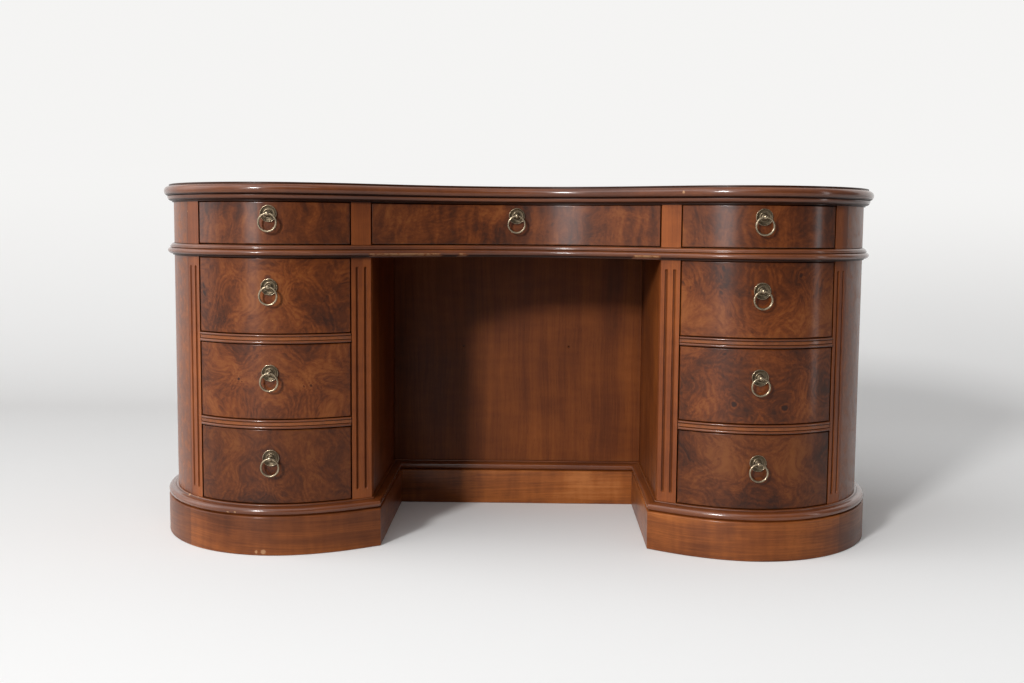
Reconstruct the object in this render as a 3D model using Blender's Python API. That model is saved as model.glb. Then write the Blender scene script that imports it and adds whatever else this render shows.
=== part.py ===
"""A kidney shaped kneehole desk with nine drawers and ring pulls, piece by piece at its real size.

Metres, +Z up. The desk stands on z = 0 and its drawers face -Y. The plane x = 0 is its plane of
symmetry and y = 0 is the middle of the top's depth. Every moulding, rail and drawer front follows
one case line, a closed spline, at its own offset from that line.
"""

import math

import bmesh
import bpy
import numpy as np
from mathutils import Matrix, Vector

# Driving dimensions
DESK_WIDTH = 1.575
DESK_DEPTH = 0.787
DESK_HEIGHT = 0.762
KNEEHOLE_WIDTH = 0.604
KNEEHOLE_DEPTH = 0.424
BAY_END_SETBACK = 0.110
INNER_PILASTER_WIDTH = 0.0375
OUTER_PILASTER_ARC = 0.044

# Heights, from the floor up
PLINTH_BOARD_HEIGHT = 0.081
PLINTH_CAP_HEIGHT = 0.021
RAIL_HEIGHT = 0.019
WAIST_HEIGHT = 0.0255
FRIEZE_HEIGHT = 0.0885
UNDER_MOULDING_HEIGHT = 0.013
TOP_THICKNESS = 0.025

# How far each moulding stands out from the case line
TOP_PROJECTION = 0.0205
UNDER_MOULDING_PROJECTION = 0.0135
WAIST_PROJECTION = 0.014
PLINTH_PROJECTION = 0.020
PLINTH_CAP_PROJECTION = 0.0205
RAIL_BEAD_PROJECTION = 0.0022

# Thicknesses of the boards
SHELL_THICKNESS = 0.018
PILASTER_THICKNESS = 0.024
KNEEHOLE_SIDE_THICKNESS = 0.018
MODESTY_PANEL_THICKNESS = 0.012
PLINTH_BOARD_LEDGE = 0.005
WAIST_SEAT_WIDTH = 0.004
DUST_BOARD_THICKNESS = 0.009
RAIL_TENON = 0.008
GUIDE_WIDTH = 0.018
GUIDE_HEIGHT = 0.010
GUIDE_SETBACK = 0.006

# Drawers
FRONT_THICKNESS = 0.020
FRONT_RECESS = 0.001
FRONT_ARRIS = 0.0012
BOX_WALL = 0.009
BOX_BOTTOM = 0.006
BOX_HEADROOM = 0.030
FRIEZE_BOX_HEADROOM = 0.016
BOX_INSET = 0.0006
BOX_BACK_SPACE = 0.030
CENTRE_BOX_BACK_SPACE = 0.110

# Pilaster flutes
FLUTE_WIDTH = 0.004
FLUTE_DEPTH = 0.0022
FLUTE_END_MARGIN = 0.019
FLUTE_PITCH_SHARE = 0.45

# Ring pulls
PULL_RISE = 0.019
ROSETTE_RADIUS = 0.017
ROSETTE_HEIGHT = 0.0045
NECK_RADIUS = 0.0032
BALL_RADIUS = 0.0052
BALL_STAND_OFF = 0.0135
BALL_HOLE_RADIUS = 0.0027
POST_RADIUS = 0.003
POST_HOLE_RADIUS = 0.0034
NUT_RADIUS = 0.008
NUT_THICKNESS = 0.004
RING_RADIUS = 0.018
RING_WIRE_RADIUS = 0.0018

# Clearances
FIT_GAP = 0.0003
DRAWER_REVEAL = 0.0012
RUNNING_GAP = 0.0005
GUIDE_GAP = 0.0008
CUT_OVERRUN = 0.010

# Fineness of the faceted solids
TURN_STEP = math.radians(10)
LONGEST_STEP_SHARE = 0.15
FRONT_FACETS = 8
CENTRE_FRONT_FACETS = 10
PILASTER_FACETS = 3
FLUTE_SIDES = 6
FLUTE_END_RINGS = 5
RING_FACETS = 16
WIRE_SIDES = 6
PULL_SIDES = 10
HOLE_SIDES = 10
BALL_STEPS = 4
MERGE_DISTANCE = 0.00001
SPLINE_SAMPLES = 2000
BISECTION_STEPS = 50
SHARP_ANGLE = math.radians(32)

# The case line on its right half, from the front centre round to the back centre, as shares of the
# case's half width and, from the front backwards, of its depth
CASE_LINE_SHARES = (
    (0.0, 0.2635),
    (0.198, 0.2253),
    (0.3795, 0.1203),
    (0.455, 0.067),
    (0.530, 0.0276),
    (0.642, 0.0003),
    (0.770, 0.0248),
    (0.9205, 0.1558),
    (0.999, 0.3985),
    (0.935, 0.678),
    (0.754, 0.872),
    (0.440, 0.9755),
    (0.0, 1.0),
)

# Moulding profiles: how far out, as a share of the projection, and how high, as a share of the height
TOP_EDGE_SHARES = (
    (0.66, 0.0), (0.92, 0.12), (1.0, 0.38), (0.92, 0.64), (0.66, 0.82), (0.51, 0.85), (0.51, 0.97),
    (0.46, 1.0),
)
UNDER_MOULDING_SHARES = ((0.26, 0.0), (0.26, 0.16), (0.68, 0.28), (0.93, 0.58), (1.0, 1.0))
WAIST_SHARES = (
    (0.25, 0.0), (0.25, 0.16), (0.72, 0.20), (1.0, 0.42), (0.80, 0.66), (0.58, 0.71),
    (0.50, 0.88), (0.0, 1.0),
)
PLINTH_CAP_SHARES = (
    (0.80, 0.0), (0.97, 0.20), (0.97, 0.55), (0.78, 0.77), (0.50, 0.84), (0.27, 0.86), (0.27, 1.0),
)
PLINTH_BOARD_SHARES = ((1.0, 0.0), (1.0, 0.965), (0.93, 1.0))
RAIL_BEAD_SHARES = ((0.0, 0.0), (1.0, 0.07), (1.0, 0.19), (0.0, 0.26))
ROSETTE_SHARES = (
    (1.0, 0.0), (1.0, 0.55), (0.88, 1.0), (0.72, 0.45), (0.55, 0.5), (0.45, 0.85),
)

# Worked out from the sizes above
CASE_HALF_WIDTH = DESK_WIDTH / 2 - TOP_PROJECTION
CASE_DEPTH = DESK_DEPTH - 2 * TOP_PROJECTION
CASE_FRONT = -CASE_DEPTH / 2
KNEEHOLE_HALF = KNEEHOLE_WIDTH / 2
BAY_INNER = KNEEHOLE_HALF + INNER_PILASTER_WIDTH
BAY_OUTER = CASE_HALF_WIDTH - BAY_END_SETBACK
PLINTH_TOP = PLINTH_BOARD_HEIGHT + PLINTH_CAP_HEIGHT
TOP_UNDERSIDE = DESK_HEIGHT - TOP_THICKNESS
FRIEZE_TOP = TOP_UNDERSIDE - UNDER_MOULDING_HEIGHT
WAIST_TOP = FRIEZE_TOP - FRIEZE_HEIGHT
WAIST_BOTTOM = WAIST_TOP - WAIST_HEIGHT
DRAWERS_PER_PEDESTAL = 3
BAY_HEIGHT = (
    WAIST_BOTTOM - PLINTH_TOP - (DRAWERS_PER_PEDESTAL - 1) * RAIL_HEIGHT
) / DRAWERS_PER_PEDESTAL
BEHIND_PILASTERS = -(PILASTER_THICKNESS + 2 * FIT_GAP)
FRONT_INNER = -(FRONT_RECESS + FRONT_THICKNESS)
SIDES = {"left": -1, "right": 1}


# The case line

def closed_spline(points):
    """A closed cubic through the points, smooth in slope and in curvature."""
    count = len(points)
    steps = np.linalg.norm(np.roll(points, -1, axis=0) - points, axis=1)
    matrix = np.zeros((count, count))
    load = np.zeros((count, 2))
    for here in range(count):
        before = here - 1
        after = (here + 1) % count
        matrix[here, before] += steps[before] / 6
        matrix[here, here] += (steps[before] + steps[here]) / 3
        matrix[here, after] += steps[here] / 6
        ahead = (points[after] - points[here]) / steps[here]
        behind = (points[here] - points[before]) / steps[before]
        load[here] = ahead - behind
    bends = np.linalg.solve(matrix, load)
    knots = np.concatenate([[0], np.cumsum(steps)])

    def at(place):
        place = np.mod(np.atleast_1d(place), knots[-1])
        one = np.clip(np.searchsorted(knots, place, side="right") - 1, 0, count - 1)
        two = (one + 1) % count
        step = steps[one][:, None]
        gone = (place - knots[one])[:, None]
        left = step - gone
        base_one = points[one] / step - bends[one] * step / 6
        base_two = points[two] / step - bends[two] * step / 6
        point = (bends[one] * left**3 + bends[two] * gone**3) / (6 * step)
        point += base_one * left + base_two * gone
        slope = (bends[two] * gone**2 - bends[one] * left**2) / (2 * step) - base_one + base_two
        return point, slope / np.linalg.norm(slope, axis=1)[:, None]

    return at, knots[-1]


def case_line():
    """The case line fitted to the case's real width and depth."""
    right = [(x * CASE_HALF_WIDTH, y * CASE_DEPTH) for x, y in CASE_LINE_SHARES]
    left = [(-x, y) for x, y in right[-2:0:-1]]
    points = np.array(right + left)
    for _ in range(3):
        at, length = closed_spline(points)
        reached, _ = at(np.linspace(0, length, SPLINE_SAMPLES))
        points[:, 0] *= CASE_HALF_WIDTH / reached[:, 0].max()
        points[:, 1] -= reached[:, 1].min()
        points[:, 1] *= CASE_DEPTH / np.ptp(reached[:, 1])
    points[:, 1] += CASE_FRONT
    return closed_spline(points)


LINE, LINE_LENGTH = case_line()


def rim(place, offset):
    """Points at an offset outwards from the case line, at distances along it from the front centre."""
    points, tangents = LINE(place)
    normals = np.stack([tangents[:, 1], -tangents[:, 0]], axis=1)
    return points + normals * offset


def rim_places():
    """Distances along the right half of the case line, closer together where it turns faster."""
    fine = np.linspace(0, LINE_LENGTH / 2, SPLINE_SAMPLES)
    _, tangents = LINE(fine)
    headings = np.unwrap(np.arctan2(tangents[:, 1], tangents[:, 0]))
    turned = np.concatenate([[0], np.cumsum(np.abs(np.diff(headings)))])
    effort = turned / TURN_STEP + fine / (LONGEST_STEP_SHARE * DESK_WIDTH)
    count = math.ceil(effort[-1])
    return np.interp(np.linspace(0, effort[-1], count + 1), effort, fine)


HALF_PLACES = rim_places()
ALL_PLACES = np.concatenate([HALF_PLACES, LINE_LENGTH - HALF_PLACES[-2:0:-1]])


def widest_place():
    """The distance along the case line at which it is widest."""
    fine = np.linspace(0, LINE_LENGTH / 2, SPLINE_SAMPLES)
    points, _ = LINE(fine)
    return fine[points[:, 0].argmax()]


WIDEST_PLACE = widest_place()


def place_at_x(x, offset):
    """Where the offset line passes a given x on the right half of the front."""
    low = 0.0
    high = WIDEST_PLACE
    for _ in range(BISECTION_STEPS):
        middle = (low + high) / 2
        if rim(middle, offset)[0, 0] < x:
            low = middle
        else:
            high = middle
    return (low + high) / 2


def front_y(x, offset):
    """The y of the offset front line at x, on either side of the middle."""
    return rim(place_at_x(abs(x), offset), offset)[0, 1]


def front_run(x_start, x_end, offset, facets):
    """Points along the right front at an offset, ending exactly on two planes of constant x."""
    places = np.linspace(place_at_x(x_start, offset), place_at_x(x_end, offset), facets + 1)
    return [tuple(point) for point in rim(places, offset)]


def centre_run(x_end, offset, facets):
    """Points along the hollow centre of the front, from -x_end to x_end."""
    end = place_at_x(x_end, offset)
    places = np.linspace(-end, end, facets + 1)
    return [tuple(point) for point in rim(places, offset)]


def rim_run(start, end, offset):
    """Points at an offset from one place on the case line to another, through the shared places."""
    between = ALL_PLACES[(ALL_PLACES > start + CUT_OVERRUN) & (ALL_PLACES < end - CUT_OVERRUN)]
    return [tuple(point) for point in rim(np.concatenate([[start], between, [end]]), offset)]


def kidney_loop(offset):
    """The whole outline at an offset."""
    return [tuple(point) for point in rim(ALL_PLACES, offset)]


MODESTY_FRONT = front_y(KNEEHOLE_HALF, 0) + KNEEHOLE_DEPTH
NOTCH_PLACE = place_at_x(KNEEHOLE_HALF, 0) + CUT_OVERRUN


def notched_loop(offset):
    """The outline of the pedestals and back at an offset, with the kneehole let into the front."""
    half = KNEEHOLE_HALF - offset
    corner = place_at_x(half, offset)
    between = ALL_PLACES[(ALL_PLACES > NOTCH_PLACE) & (ALL_PLACES < LINE_LENGTH - NOTCH_PLACE)]
    places = np.concatenate([[corner], between, [LINE_LENGTH - corner]])
    loop = [tuple(point) for point in rim(places, offset)]
    back = MODESTY_FRONT - offset
    return loop + [(-half, back), (half, back)]


PILASTER_END = place_at_x(BAY_OUTER, 0) + OUTER_PILASTER_ARC


# Building blocks

def material(name, colour, roughness, metallic=0.0):
    """A plain material in the piece's own colour."""
    made = bpy.data.materials.new(name)
    made.use_nodes = True
    shader = made.node_tree.nodes["Principled BSDF"]
    shader.inputs["Base Color"].default_value = (*colour, 1.0)
    shader.inputs["Roughness"].default_value = roughness
    shader.inputs["Metallic"].default_value = metallic
    made.diffuse_color = (*colour, 1.0)
    return made


def finish_mesh(name, mesh_data, finish):
    """Close a bmesh into a named object with faces pointing out and smooth shading on its curves."""
    bmesh.ops.recalc_face_normals(mesh_data, faces=mesh_data.faces)
    mesh = bpy.data.meshes.new(name)
    mesh_data.to_mesh(mesh)
    mesh_data.free()
    mesh.materials.append(finish)
    mesh.shade_smooth()
    mesh.set_sharp_from_angle(angle=SHARP_ANGLE)
    made = bpy.data.objects.new(name, mesh)
    bpy.context.scene.collection.objects.link(made)
    return made


def mirrored(points, side):
    """The same points on the left when side is -1, and unchanged on the right."""
    return [(side * point[0], *point[1:]) for point in points]


def stack(name, loops, finish):
    """A solid from loops of equal length laid one above another, with its two ends closed."""
    built = bmesh.new()
    rows = [[built.verts.new(point) for point in loop] for loop in loops]
    for lower, upper in zip(rows, rows[1:]):
        for here in range(len(lower)):
            after = (here + 1) % len(lower)
            built.faces.new((lower[here], lower[after], upper[after], upper[here]))
    built.faces.new(rows[0])
    built.faces.new(rows[-1])
    return finish_mesh(name, built, finish)


def prism(name, outline, bottom, top, finish):
    """A board of any outline, between two heights."""
    low = [(x, y, bottom) for x, y in outline]
    high = [(x, y, top) for x, y in outline]
    return stack(name, [low, high], finish)


def box(name, low, high, finish):
    """A plain rectangular block between two corners."""
    outline = [(low[0], low[1]), (high[0], low[1]), (high[0], high[1]), (low[0], high[1])]
    return prism(name, outline, low[2], high[2], finish)


def moulding_ring(name, loops, finish):
    """A closed moulding: the loops are its profile's corners, each carried right round its path."""
    built = bmesh.new()
    rows = [[built.verts.new(point) for point in loop] for loop in loops]
    for lower, upper in zip(rows, rows[1:] + rows[:1]):
        for here in range(len(lower)):
            after = (here + 1) % len(lower)
            built.faces.new((lower[here], lower[after], upper[after], upper[here]))
    return finish_mesh(name, built, finish)


def moulding_strip(name, rows, finish):
    """A length of moulding with cut ends: the rows are its profile's corners, carried along it."""
    sections = [[row[here] for row in rows] for here in range(len(rows[0]))]
    return stack(name, sections, finish)


def lift(outline, height):
    """A plan outline at one height."""
    return [(x, y, height) for x, y in outline]


def band(start, end, thickness):
    """The plan of a curved wall of the case, from one place on the case line to another."""
    return rim_run(start, end, 0) + rim_run(start, end, -thickness)[::-1]


def profile_loops(path, inner_offset, shares, projection, bottom, height):
    """Loops for a moulding: its inner face, then its profile from bottom to top."""
    loops = [lift(path(inner_offset), bottom)]
    for out, up in shares:
        loops.append(lift(path(out * projection), bottom + up * height))
    loops.append(lift(path(inner_offset), bottom + height))
    return loops


def hide(helper):
    """Keep a cutter or a joined block out of the finished model."""
    helper.hide_render = True
    helper.display_type = "WIRE"


def combine(target, other, operation):
    """Cut a helper from a piece, or join it on, with a live Boolean."""
    hide(other)
    modifier = target.modifiers.new(other.name, "BOOLEAN")
    modifier.operation = operation
    modifier.solver = "EXACT"
    modifier.object = other


def cylinder(name, start, end, radius, sides):
    """A closed cylinder between two points."""
    axis = Vector(end) - Vector(start)
    built = bmesh.new()
    bmesh.ops.create_cone(
        built, cap_ends=True, segments=sides, radius1=radius, radius2=radius, depth=axis.length
    )
    turn = axis.to_track_quat("Z", "Y").to_matrix().to_4x4()
    middle = (Vector(start) + Vector(end)) / 2
    bmesh.ops.transform(built, matrix=Matrix.Translation(middle) @ turn, verts=built.verts)
    return finish_mesh(name, built, WOOD_INSIDE)


def hang_on(child, parent):
    """Parent a piece to an empty without moving it."""
    child.parent = parent
    child.matrix_parent_inverse = Matrix.Translation(-Vector(parent.location))


def axis_empty(name, place):
    """An empty that marks a joint's axis."""
    made = bpy.data.objects.new(name, None)
    made.location = place
    bpy.context.scene.collection.objects.link(made)
    return made


# Top, frieze and waist

def make_top():
    """The top board with its thumb bead and thin raised edge, all worked on one board."""
    loops = []
    for out, up in TOP_EDGE_SHARES:
        loops.append(lift(kidney_loop(out * TOP_PROJECTION), TOP_UNDERSIDE + up * TOP_THICKNESS))
    stack("top_board", loops, WALNUT)


def make_under_moulding():
    """The ovolo ring that stands on the frieze and carries the top."""
    loops = profile_loops(
        kidney_loop, -SHELL_THICKNESS, UNDER_MOULDING_SHARES, UNDER_MOULDING_PROJECTION,
        FRIEZE_TOP, UNDER_MOULDING_HEIGHT - FIT_GAP,
    )
    moulding_ring("under_moulding", loops, WALNUT)


def make_waist():
    """The board under the frieze drawers, its guide strips, and the moulding round its edge."""
    seat = -(WAIST_SEAT_WIDTH + FIT_GAP)
    floor = prism("frieze_floor", kidney_loop(seat), WAIST_BOTTOM, WAIST_TOP, WALNUT_PLAIN)
    for name, side in SIDES.items():
        add_guide(floor, f"frieze_{name}", side, WAIST_TOP, outer_guide_span())
    loops = profile_loops(
        kidney_loop, -WAIST_SEAT_WIDTH, WAIST_SHARES, WAIST_PROJECTION, WAIST_BOTTOM, WAIST_HEIGHT
    )
    moulding_ring("waist_moulding", loops, WALNUT)


def make_frieze():
    """The frieze band round the ends and back, with its stiles and partitions."""
    bottom = WAIST_TOP + FIT_GAP
    top = FRIEZE_TOP - FIT_GAP
    start = PILASTER_END + FIT_GAP
    prism("frieze_band", band(start, LINE_LENGTH - start, SHELL_THICKNESS), bottom, top, WALNUT)
    back = LINE(LINE_LENGTH / 2)[0][0, 1] - SHELL_THICKNESS - CENTRE_BOX_BACK_SPACE
    for name, side in SIDES.items():
        outer = mirrored(outer_pilaster_plan(), side)
        prism(f"frieze_outer_stile_{name}", outer, bottom, top, WALNUT)
        face = front_run(KNEEHOLE_HALF, BAY_INNER, 0, PILASTER_FACETS)
        inner = front_run(KNEEHOLE_HALF, BAY_INNER, -PILASTER_THICKNESS, PILASTER_FACETS)
        guide = DRAWER_REVEAL + BOX_INSET - GUIDE_GAP
        stem = [
            (BAY_INNER + guide, inner[-1][1]),
            (BAY_INNER + guide, back),
            (KNEEHOLE_HALF - guide, back),
            (KNEEHOLE_HALF - guide, inner[0][1]),
        ]
        plan = mirrored(face + [inner[-1]] + stem + [inner[0]], side)
        prism(f"frieze_partition_{name}", plan, bottom, top, WALNUT)


# Pedestals and kneehole

def outer_pilaster_plan():
    """The plan of an outer pilaster: a flat cut beside the drawers, a square cut at its far end."""
    outside = np.linspace(place_at_x(BAY_OUTER, 0), PILASTER_END, PILASTER_FACETS + 1)
    first = place_at_x(BAY_OUTER, -PILASTER_THICKNESS)
    inside = np.linspace(PILASTER_END, first, PILASTER_FACETS + 1)
    plan = [tuple(point) for point in rim(outside, 0)]
    return plan + [tuple(point) for point in rim(inside, -PILASTER_THICKNESS)]


def inner_pilaster_plan():
    """The plan of an inner pilaster, between the kneehole and the drawers."""
    face = front_run(KNEEHOLE_HALF, BAY_INNER, 0, PILASTER_FACETS)
    back = front_run(KNEEHOLE_HALF, BAY_INNER, -PILASTER_THICKNESS, PILASTER_FACETS)
    return face + back[::-1]


def cut_flute(pilaster, name, side, place):
    """A round-ended flute down a pilaster's face: a ball drawn out into a rod at its middle."""
    radius = FLUTE_WIDTH / 2
    low = PLINTH_TOP + FLUTE_END_MARGIN + radius
    high = WAIST_BOTTOM - FLUTE_END_MARGIN - radius
    centre = rim(place, radius - FLUTE_DEPTH)[0]
    x = side * centre[0]
    y = centre[1]
    built = bmesh.new()
    bmesh.ops.create_uvsphere(
        built, u_segments=FLUTE_SIDES, v_segments=FLUTE_END_RINGS, radius=radius
    )
    for vertex in built.verts:
        height = high if vertex.co.z > 0 else low
        vertex.co += Vector((x, y, height))
    cutter = finish_mesh(name, built, WOOD_INSIDE)
    combine(pilaster, cutter, "DIFFERENCE")


def make_pilasters():
    """The four fluted pilasters, two beside the kneehole and two at the outer edges of the drawers."""
    bottom = PLINTH_TOP + FIT_GAP
    top = WAIST_BOTTOM - FIT_GAP
    inner_middle = (place_at_x(KNEEHOLE_HALF, 0) + place_at_x(BAY_INNER, 0)) / 2
    outer_middle = PILASTER_END - OUTER_PILASTER_ARC / 2
    pitch = OUTER_PILASTER_ARC * FLUTE_PITCH_SHARE
    for name, side in SIDES.items():
        for kind, plan, middle in (
            ("inner", inner_pilaster_plan(), inner_middle),
            ("outer", outer_pilaster_plan(), outer_middle),
        ):
            pilaster = prism(f"{kind}_pilaster_{name}", mirrored(plan, side), bottom, top, WALNUT_LIGHT)
            for number, place in enumerate((middle - pitch / 2, middle + pitch / 2), 1):
                cut_flute(pilaster, f"cut_{kind}_{name}_{number}", side, place)


def make_case_shell():
    """The curved carcase wall round both ends and the back."""
    start = PILASTER_END + FIT_GAP
    plan = band(start, LINE_LENGTH - start, SHELL_THICKNESS)
    prism("case_shell", plan, PLINTH_TOP + FIT_GAP, WAIST_BOTTOM - FIT_GAP, WALNUT)


def make_kneehole():
    """The kneehole's two side panels and the modesty panel between them."""
    bottom = PLINTH_TOP + FIT_GAP
    top = WAIST_BOTTOM - FIT_GAP
    back = MODESTY_FRONT + MODESTY_PANEL_THICKNESS
    near = KNEEHOLE_HALF
    far = KNEEHOLE_HALF + KNEEHOLE_SIDE_THICKNESS
    for name, side in SIDES.items():
        plan = [
            (near, front_y(near, BEHIND_PILASTERS)),
            (far, front_y(far, BEHIND_PILASTERS)),
            (far, back),
            (near, back),
        ]
        prism(f"kneehole_side_{name}", mirrored(plan, side), bottom, top, WALNUT_LIGHT)
    half = KNEEHOLE_HALF - FIT_GAP
    box("modesty_panel", (-half, MODESTY_FRONT, bottom), (half, back, top), WALNUT_LIGHT)


def box_back():
    """How far back the side drawers reach."""
    return MODESTY_FRONT - BOX_BACK_SPACE


def inner_guide_span():
    """The x range of the guide strip between the kneehole side and a drawer box."""
    low = KNEEHOLE_HALF + KNEEHOLE_SIDE_THICKNESS + FIT_GAP
    return low, BAY_INNER + DRAWER_REVEAL + BOX_INSET - GUIDE_GAP


def outer_guide_span():
    """The x range of the guide strip outside a drawer box."""
    low = BAY_OUTER - DRAWER_REVEAL - BOX_INSET + GUIDE_GAP
    return low, low + GUIDE_WIDTH


def add_guide(board, name, side, height, span):
    """Join a guide strip to the board that a drawer runs on."""
    front = front_y(span[1], BEHIND_PILASTERS - GUIDE_SETBACK)
    front = max(front, front_y(span[0], BEHIND_PILASTERS - GUIDE_SETBACK))
    ends = sorted((side * span[0], side * span[1]))
    low = (ends[0], front, height - DUST_BOARD_THICKNESS / 2)
    high = (ends[1], box_back(), height + GUIDE_HEIGHT)
    strip = box(f"join_guide_{name}", low, high, WALNUT_PLAIN)
    combine(board, strip, "UNION")


def make_rails():
    """The beaded rails between the pedestal drawers, each with the dust board behind it."""
    near = KNEEHOLE_HALF + KNEEHOLE_SIDE_THICKNESS + FIT_GAP
    start = place_at_x(near, BEHIND_PILASTERS)
    fine = np.linspace(start, LINE_LENGTH / 2, SPLINE_SAMPLES)
    end = fine[rim(fine, BEHIND_PILASTERS)[:, 1] < box_back()].max()
    board_plan = rim_run(start, end, BEHIND_PILASTERS) + [(near, box_back())]
    ends = (BAY_INNER + FIT_GAP, BAY_OUTER - FIT_GAP)
    for level in range(1, DRAWERS_PER_PEDESTAL):
        bottom = PLINTH_TOP + level * BAY_HEIGHT + (level - 1) * RAIL_HEIGHT
        top = bottom + RAIL_HEIGHT
        beads = [(out, up) for out, up in RAIL_BEAD_SHARES]
        beads += [(out, 1 - up) for out, up in RAIL_BEAD_SHARES[::-1]]
        corners = [(BEHIND_PILASTERS - RAIL_TENON, bottom)]
        corners += [(out * RAIL_BEAD_PROJECTION, bottom + up * RAIL_HEIGHT) for out, up in beads]
        corners.append((BEHIND_PILASTERS - RAIL_TENON, top))
        rows = [lift(front_run(*ends, offset, FRONT_FACETS), height) for offset, height in corners]
        for name, side in SIDES.items():
            label = f"{name}_{DRAWERS_PER_PEDESTAL - level}"
            rail = moulding_strip(f"rail_{label}", [mirrored(row, side) for row in rows], WALNUT_LIGHT)
            board = prism(
                f"join_dust_board_{label}", mirrored(board_plan, side),
                top - DUST_BOARD_THICKNESS, top, WALNUT_PLAIN,
            )
            combine(rail, board, "UNION")
            add_guide(rail, f"{label}_inner", side, top, inner_guide_span())
            add_guide(rail, f"{label}_outer", side, top, outer_guide_span())


def make_base():
    """The base board under both pedestals, and the plinth that it stands on."""
    seat = PLINTH_BOARD_HEIGHT + FIT_GAP
    base = prism("base_board", notched_loop(-FIT_GAP), seat, PLINTH_TOP, WALNUT_PLAIN)
    for name, side in SIDES.items():
        add_guide(base, f"base_{name}_inner", side, PLINTH_TOP, inner_guide_span())
        add_guide(base, f"base_{name}_outer", side, PLINTH_TOP, outer_guide_span())
    cap = profile_loops(
        notched_loop, 0, PLINTH_CAP_SHARES, PLINTH_CAP_PROJECTION, seat, PLINTH_CAP_HEIGHT - FIT_GAP
    )
    moulding_ring("plinth_cap", cap, WALNUT)
    board = profile_loops(
        notched_loop, -PLINTH_BOARD_LEDGE, PLINTH_BOARD_SHARES, PLINTH_PROJECTION,
        0, PLINTH_BOARD_HEIGHT,
    )
    moulding_ring("plinth_board", board, WALNUT)


# Drawers and pulls

def front_rows(run, bottom, top):
    """A drawer front's profile corners, carried along its bow: arrises eased on the face only."""
    corners = (
        (FRONT_INNER, bottom),
        (-FRONT_RECESS - FRONT_ARRIS, bottom),
        (-FRONT_RECESS, bottom + FRONT_ARRIS),
        (-FRONT_RECESS, top - FRONT_ARRIS),
        (-FRONT_RECESS - FRONT_ARRIS, top),
        (FRONT_INNER, top),
    )
    return [lift(run(offset), height) for offset, height in corners]


def trimmed(points, low_x, high_x, gap):
    """The line of points moved back by a gap, and cut to end at two values of x."""
    points = sorted(points)
    across = [point[0] for point in points]
    back = [point[1] + gap for point in points]
    kept = [(x, y) for x, y in zip(across, back) if low_x < x < high_x]
    start = (low_x, float(np.interp(low_x, across, back)))
    end = (high_x, float(np.interp(high_x, across, back)))
    return [start] + kept + [end]


def under(points, x, radius):
    """The y values of a faceted line under a round foot centred on x."""
    points = sorted(points)
    across = [point[0] for point in points]
    back = [point[1] for point in points]
    edges = np.interp([x - radius, x, x + radius], across, back)
    return [float(y) for y in edges] + [y for at, y in points if abs(at - x) < radius]


def make_drawer(name, run, side, x_range, pull_x, bay, back, headroom):
    """One drawer: its front, its open box, its pull and its ring."""
    bottom = bay[0] + DRAWER_REVEAL
    top = bay[1] - DRAWER_REVEAL
    slide = axis_empty(f"slide_{name}", (pull_x, front_y(pull_x, 0), bottom))
    rows = [mirrored(row, side) for row in front_rows(run, bottom, top)]
    front = moulding_strip(f"drawer_front_{name}", rows, WALNUT_BURR)
    hang_on(front, slide)

    low_x = x_range[0] + BOX_INSET
    high_x = x_range[1] - BOX_INSET
    inner = trimmed(mirrored(run(FRONT_INNER), side), low_x, high_x, FIT_GAP)
    outline = inner + [(high_x, back), (low_x, back)]
    floor = bay[0] + RUNNING_GAP
    wall_top = bay[1] - headroom
    tray = prism(f"drawer_box_{name}", outline, floor, wall_top, OAK)
    hollow = box(
        f"cut_box_{name}",
        (low_x + BOX_WALL, min(y for _, y in inner) - CUT_OVERRUN, floor + BOX_BOTTOM),
        (high_x - BOX_WALL, back - BOX_WALL, wall_top + CUT_OVERRUN),
        OAK,
    )
    combine(tray, hollow, "DIFFERENCE")
    hang_on(tray, slide)

    height = (bottom + top) / 2 + PULL_RISE
    face = under(mirrored(run(-FRONT_RECESS), side), pull_x, ROSETTE_RADIUS)
    seat = Vector((pull_x, min(face) - FIT_GAP, height))
    hole = cylinder(
        f"cut_hole_{name}", seat, seat + Vector((0, FRONT_THICKNESS + CUT_OVERRUN, 0)),
        POST_HOLE_RADIUS, HOLE_SIDES,
    )
    combine(front, hole, "DIFFERENCE")
    inside = max(under(mirrored(run(FRONT_INNER), side), pull_x, NUT_RADIUS)) - seat.y
    hang_on(make_pull(f"pull_{name}", seat, inside), slide)
    pivot = seat - Vector((0, BALL_STAND_OFF, 0))
    swing = axis_empty(f"swing_{name}", pivot)
    hang_on(swing, slide)
    hang_on(make_ring(f"ring_{name}", pivot), swing)


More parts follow.
